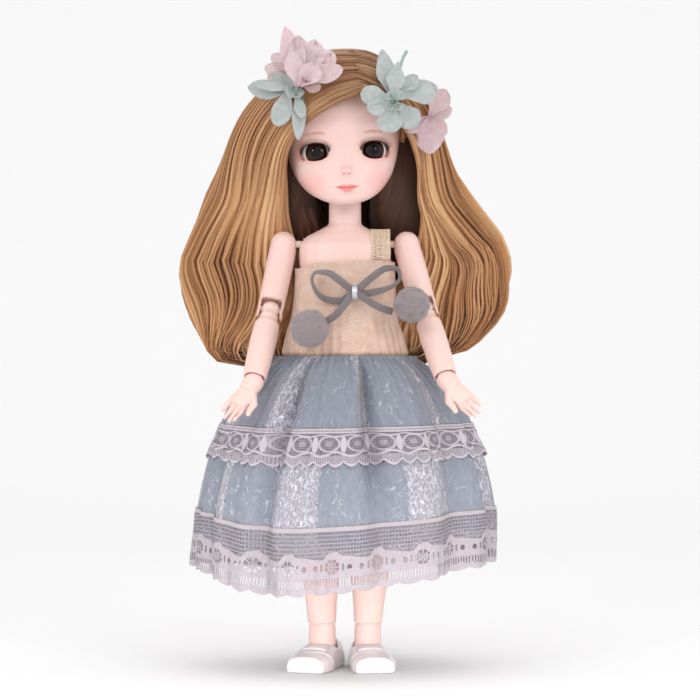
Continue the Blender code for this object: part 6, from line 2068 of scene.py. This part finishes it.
@dataclass
class Shoes:
    """The soft vinyl strap shoes. Sizes are in millimetres, in each foot's frame."""

    length: float = 36.0
    width: float = 15.8
    height: float = 13.7
    wall: float = 2.0
    sole: float = 2.6
    sole_edge: float = 1.2
    ankle: float = 7.4
    strap: float = 5.0
    gap: float = 0.3
    voxel: float = 0.34
    rows: tuple = ((-0.375, 0.45, 0.56), (-0.33, 0.72, 0.80), (-0.18, 0.84, 0.90), (0.0, 0.86, 0.92),
                   (0.16, 0.93, 0.80), (0.32, 1.05, 0.68), (0.46, 1.12, 0.60), (0.57, 1.08, 0.53), (0.62, 0.92, 0.42))
    inner_rows: tuple = ((-0.375, 0.45, 0.56), (-0.33, 0.72, 0.80), (-0.18, 0.84, 0.90), (0.0, 0.86, 0.92),
                         (0.16, 0.92, 0.80), (0.32, 1.0, 0.62), (0.46, 0.98, 0.50), (0.57, 0.82, 0.42),
                         (0.62, 0.50, 0.34))

    def shell(self, table: Sequence[tuple], grow: float, floor: float) -> Array:
        """Upright rings along the foot.

        Args:
            table: How far along, how wide and how high, as shares.
            grow: How far outside the foot they lie.
            floor: The height of their bottom.

        Returns:
            A closed grid of rings, from heel to toe.
        """
        along = np.linspace(table[0][0], table[-1][0], 60)
        sizes = through([row[0] for row in table], [row[1:] for row in table], along)
        half = sizes[:, 0] * self.width / 2 + grow
        top = sizes[:, 1] * self.height + grow - floor - self.sole_edge
        y = -along * self.length
        y[0] += grow
        y[-1] -= grow
        y[1] = (y[0] + y[2]) / 2
        y[-2] = (y[-1] + y[-3]) / 2
        angle = np.linspace(0, math.pi, 49)[None, :]
        across = half[:, None] * power_of(np.cos(angle), 0.7)
        high = floor + self.sole_edge + top[:, None] * power_of(np.sin(angle), 0.8)
        arch = stacked(across, y[:, None], high)
        under = np.linspace(1, -1, 21)[None, :] * (half * 0.88)[:, None]
        sole = stacked(-under, y[:, None], floor)
        return np.concatenate([arch, sole], axis=1)

    def solid(self, name: str, grid: Array, base: Matrix) -> bpy.types.Object:
        """Make a plain closed solid of a grid."""
        cloth = Cloth()
        cloth.grid(carried(grid * MM, base), around=True, capped=True)
        return shown(name, cloth.mesh(name))

    def column(self, name: str, outline: Array, low: float, high: float, base: Matrix) -> bpy.types.Object:
        """Make an upright cutter of an outline."""
        rings = [np.column_stack([outline, np.full(len(outline), level)]) for level in (low, high)]
        return self.solid(name, np.stack(rings), base)

    def make_shoe(self, side: Side, turn: float, spacing: float) -> None:
        """Make one shoe: a thick-walled shell with its collar and throat cut, and a rim over the toe."""
        base = moved((side.value * spacing * MM, 0, 0)) @ turned(side.value * turn, "Z")
        outer = self.shell(self.rows, self.wall, 0.0)
        toe = eased(-9.0, -20.0, outer[..., 1])
        outer[..., 0] += side.value * toe * 0.5
        shoe = self.solid(side.word + "_shoe_vinyl", outer, base)
        hollow = self.solid("hollow", self.shell(self.inner_rows, self.gap, self.sole), base)
        around = turns_of(64)
        circle = np.column_stack([np.cos(around), np.sin(around)])
        collar = self.column("collar", circle * self.ankle, 8.55, 40, base)
        front = -self.ankle - self.strap
        half = np.linspace(0, math.pi, 33)
        throat_outline = np.column_stack([np.cos(half) * 6.5, front - 4.6 * power_of(np.sin(half), 0.8)])
        throat = self.column("throat", throat_outline, 4.5, 40, base)
        carved(shoe, hollow, collar, throat)
        finer(shoe, self.voxel, 12)
        mesh = shoe.data
        points, normals = points_of(mesh).astype(float), points_of(mesh, "normal")
        local = carried(points, base.inverted()) / MM
        x, y, z = local.T
        arch = -18.6 + 0.045 * x ** 2
        ridge = np.exp(-((y - arch) / 0.55) ** 2) * 0.34 - eased(0.2, -0.9, y - arch) * eased(5.0, 8.5, z) * 0.25
        welt = np.exp(-((z - 1.9) / 0.4) ** 2) * 0.18
        outside = np.clip((normals * (points - carried(np.array([[0, 0, 6.0]]) * MM, base))).sum(axis=1) * 2000, 0, 1)
        points += normals * ((ridge * (z > 3.2) - welt) * outside * MM)[:, None]
        mesh.vertices.foreach_set("co", points.astype(np.float32).ravel())
        smoothed(mesh)
        worn(shoe, VinylFinish(), side.word + "_foot", "shoe", side.word + "_shoe")

    def make(self) -> None:
        """Make both shoes."""
        figure = Figure()
        for side in Side:
            self.make_shoe(side, figure.foot_turns[side], figure.ankle_spacing)


@dataclass
class Studio:
    """The pale floor, the soft lights and the camera. Sizes are in metres."""

    eye_height: float = 0.1533
    distance: float = 1.25
    aside: float = 0.0024
    view_width: float = 0.338

    def camera(self) -> None:
        """Set the camera level with the doll's middle, at the photograph's angle."""
        data = bpy.data.cameras.new("view")
        data.sensor_width = 36
        data.lens = data.sensor_width * self.distance / self.view_width
        data.clip_start, data.clip_end = 0.05, 20
        view = bpy.data.objects.new("view", data)
        view.location = (self.aside, -self.distance, self.eye_height)
        view.rotation_euler = (math.pi / 2, 0, 0)
        bpy.context.scene.collection.objects.link(view)
        bpy.context.scene.camera = view

    def light(self, name: str, azimuth: float, elevation: float, distance: float, size: tuple[float, float],
              power: float) -> bpy.types.Object:
        """Hang one soft light that faces the doll.

        Args:
            name: The light's name.
            azimuth: Degrees from the camera's side towards the doll's left.
            elevation: Degrees above the horizon.
            distance: How far it hangs from the doll's middle.
            size: Its width and height.
            power: Its power in watts.

        Returns:
            The light.
        """
        data = bpy.data.lights.new(name, "AREA")
        data.shape = "RECTANGLE"
        data.size, data.size_y = size
        data.energy = power
        lamp = bpy.data.objects.new(name, data)
        a, e = azimuth * DEGREE, elevation * DEGREE
        back = Vector((math.sin(a) * math.cos(e), -math.cos(a) * math.cos(e), math.sin(e)))
        lamp.location = Vector((0, 0, 0.19)) + back * distance
        lamp.rotation_euler = back.to_track_quat("Z", "Y").to_euler()
        lamp.visible_camera = False
        bpy.context.scene.collection.objects.link(lamp)
        return lamp

    def floor(self) -> None:
        """Lay a pale floor that curves up behind the doll."""
        sweep = Cloth()
        t = np.linspace(0, 1, 40)
        y = np.concatenate([np.linspace(-3, 0.9, 20), 0.9 + 0.8 * np.sin(t[1:] * math.pi / 2), [1.7]])
        z = np.concatenate([np.zeros(20), 0.8 * (1 - np.cos(t[1:] * math.pi / 2)), [3.0]])
        x = np.linspace(-3, 3, 9)
        sweep.grid(stacked(x[None, :], y[:, None], z[:, None] - 0.0002))
        floor = shown("floor", sweep.mesh("floor"))
        floor.data.materials.append(dressed(PlainFinish("paper", (0.90, 0.90, 0.91), (0.88, 0.88, 0.89), 0.8)))

    def make(self) -> None:
        """Set up the whole studio."""
        self.camera()
        self.floor()
        self.light("key_left", -34, 22, 1.05, (0.13, 0.20), 1.05)
        self.light("key_right", 34, 22, 1.05, (0.13, 0.20), 1.2)
        self.light("top", 0, 75, 1.1, (0.9, 0.7), 1.1)
        low = self.light("low", 0, 0, 0.30, (0.30, 0.04), 0.10)
        low.location.z = 0.03
        low.data.spread = 55 * DEGREE
        low.visible_glossy = False
        world = bpy.data.worlds.new("soft_sky")
        world.use_nodes = True
        world.node_tree.nodes["Background"].inputs[0].default_value = (1.0, 0.99, 0.98, 1)
        world.node_tree.nodes["Background"].inputs[1].default_value = 1.04
        bpy.context.scene.world = world
        bpy.context.scene.view_settings.view_transform = "Standard"


def main() -> None:
    """Build the studio and every sub-assembly in order."""
    logging.basicConfig(level=logging.INFO, format="%(name)s: %(message)s")
    head = Head()
    for part in (Studio(), head, Hair(head), Flowers(), Figure(), Shoes(), Bodice(), Skirt(), Bow()):
        part.make()
        log.info("%s made", type(part).__name__)


if __name__ == "__main__":
    main()
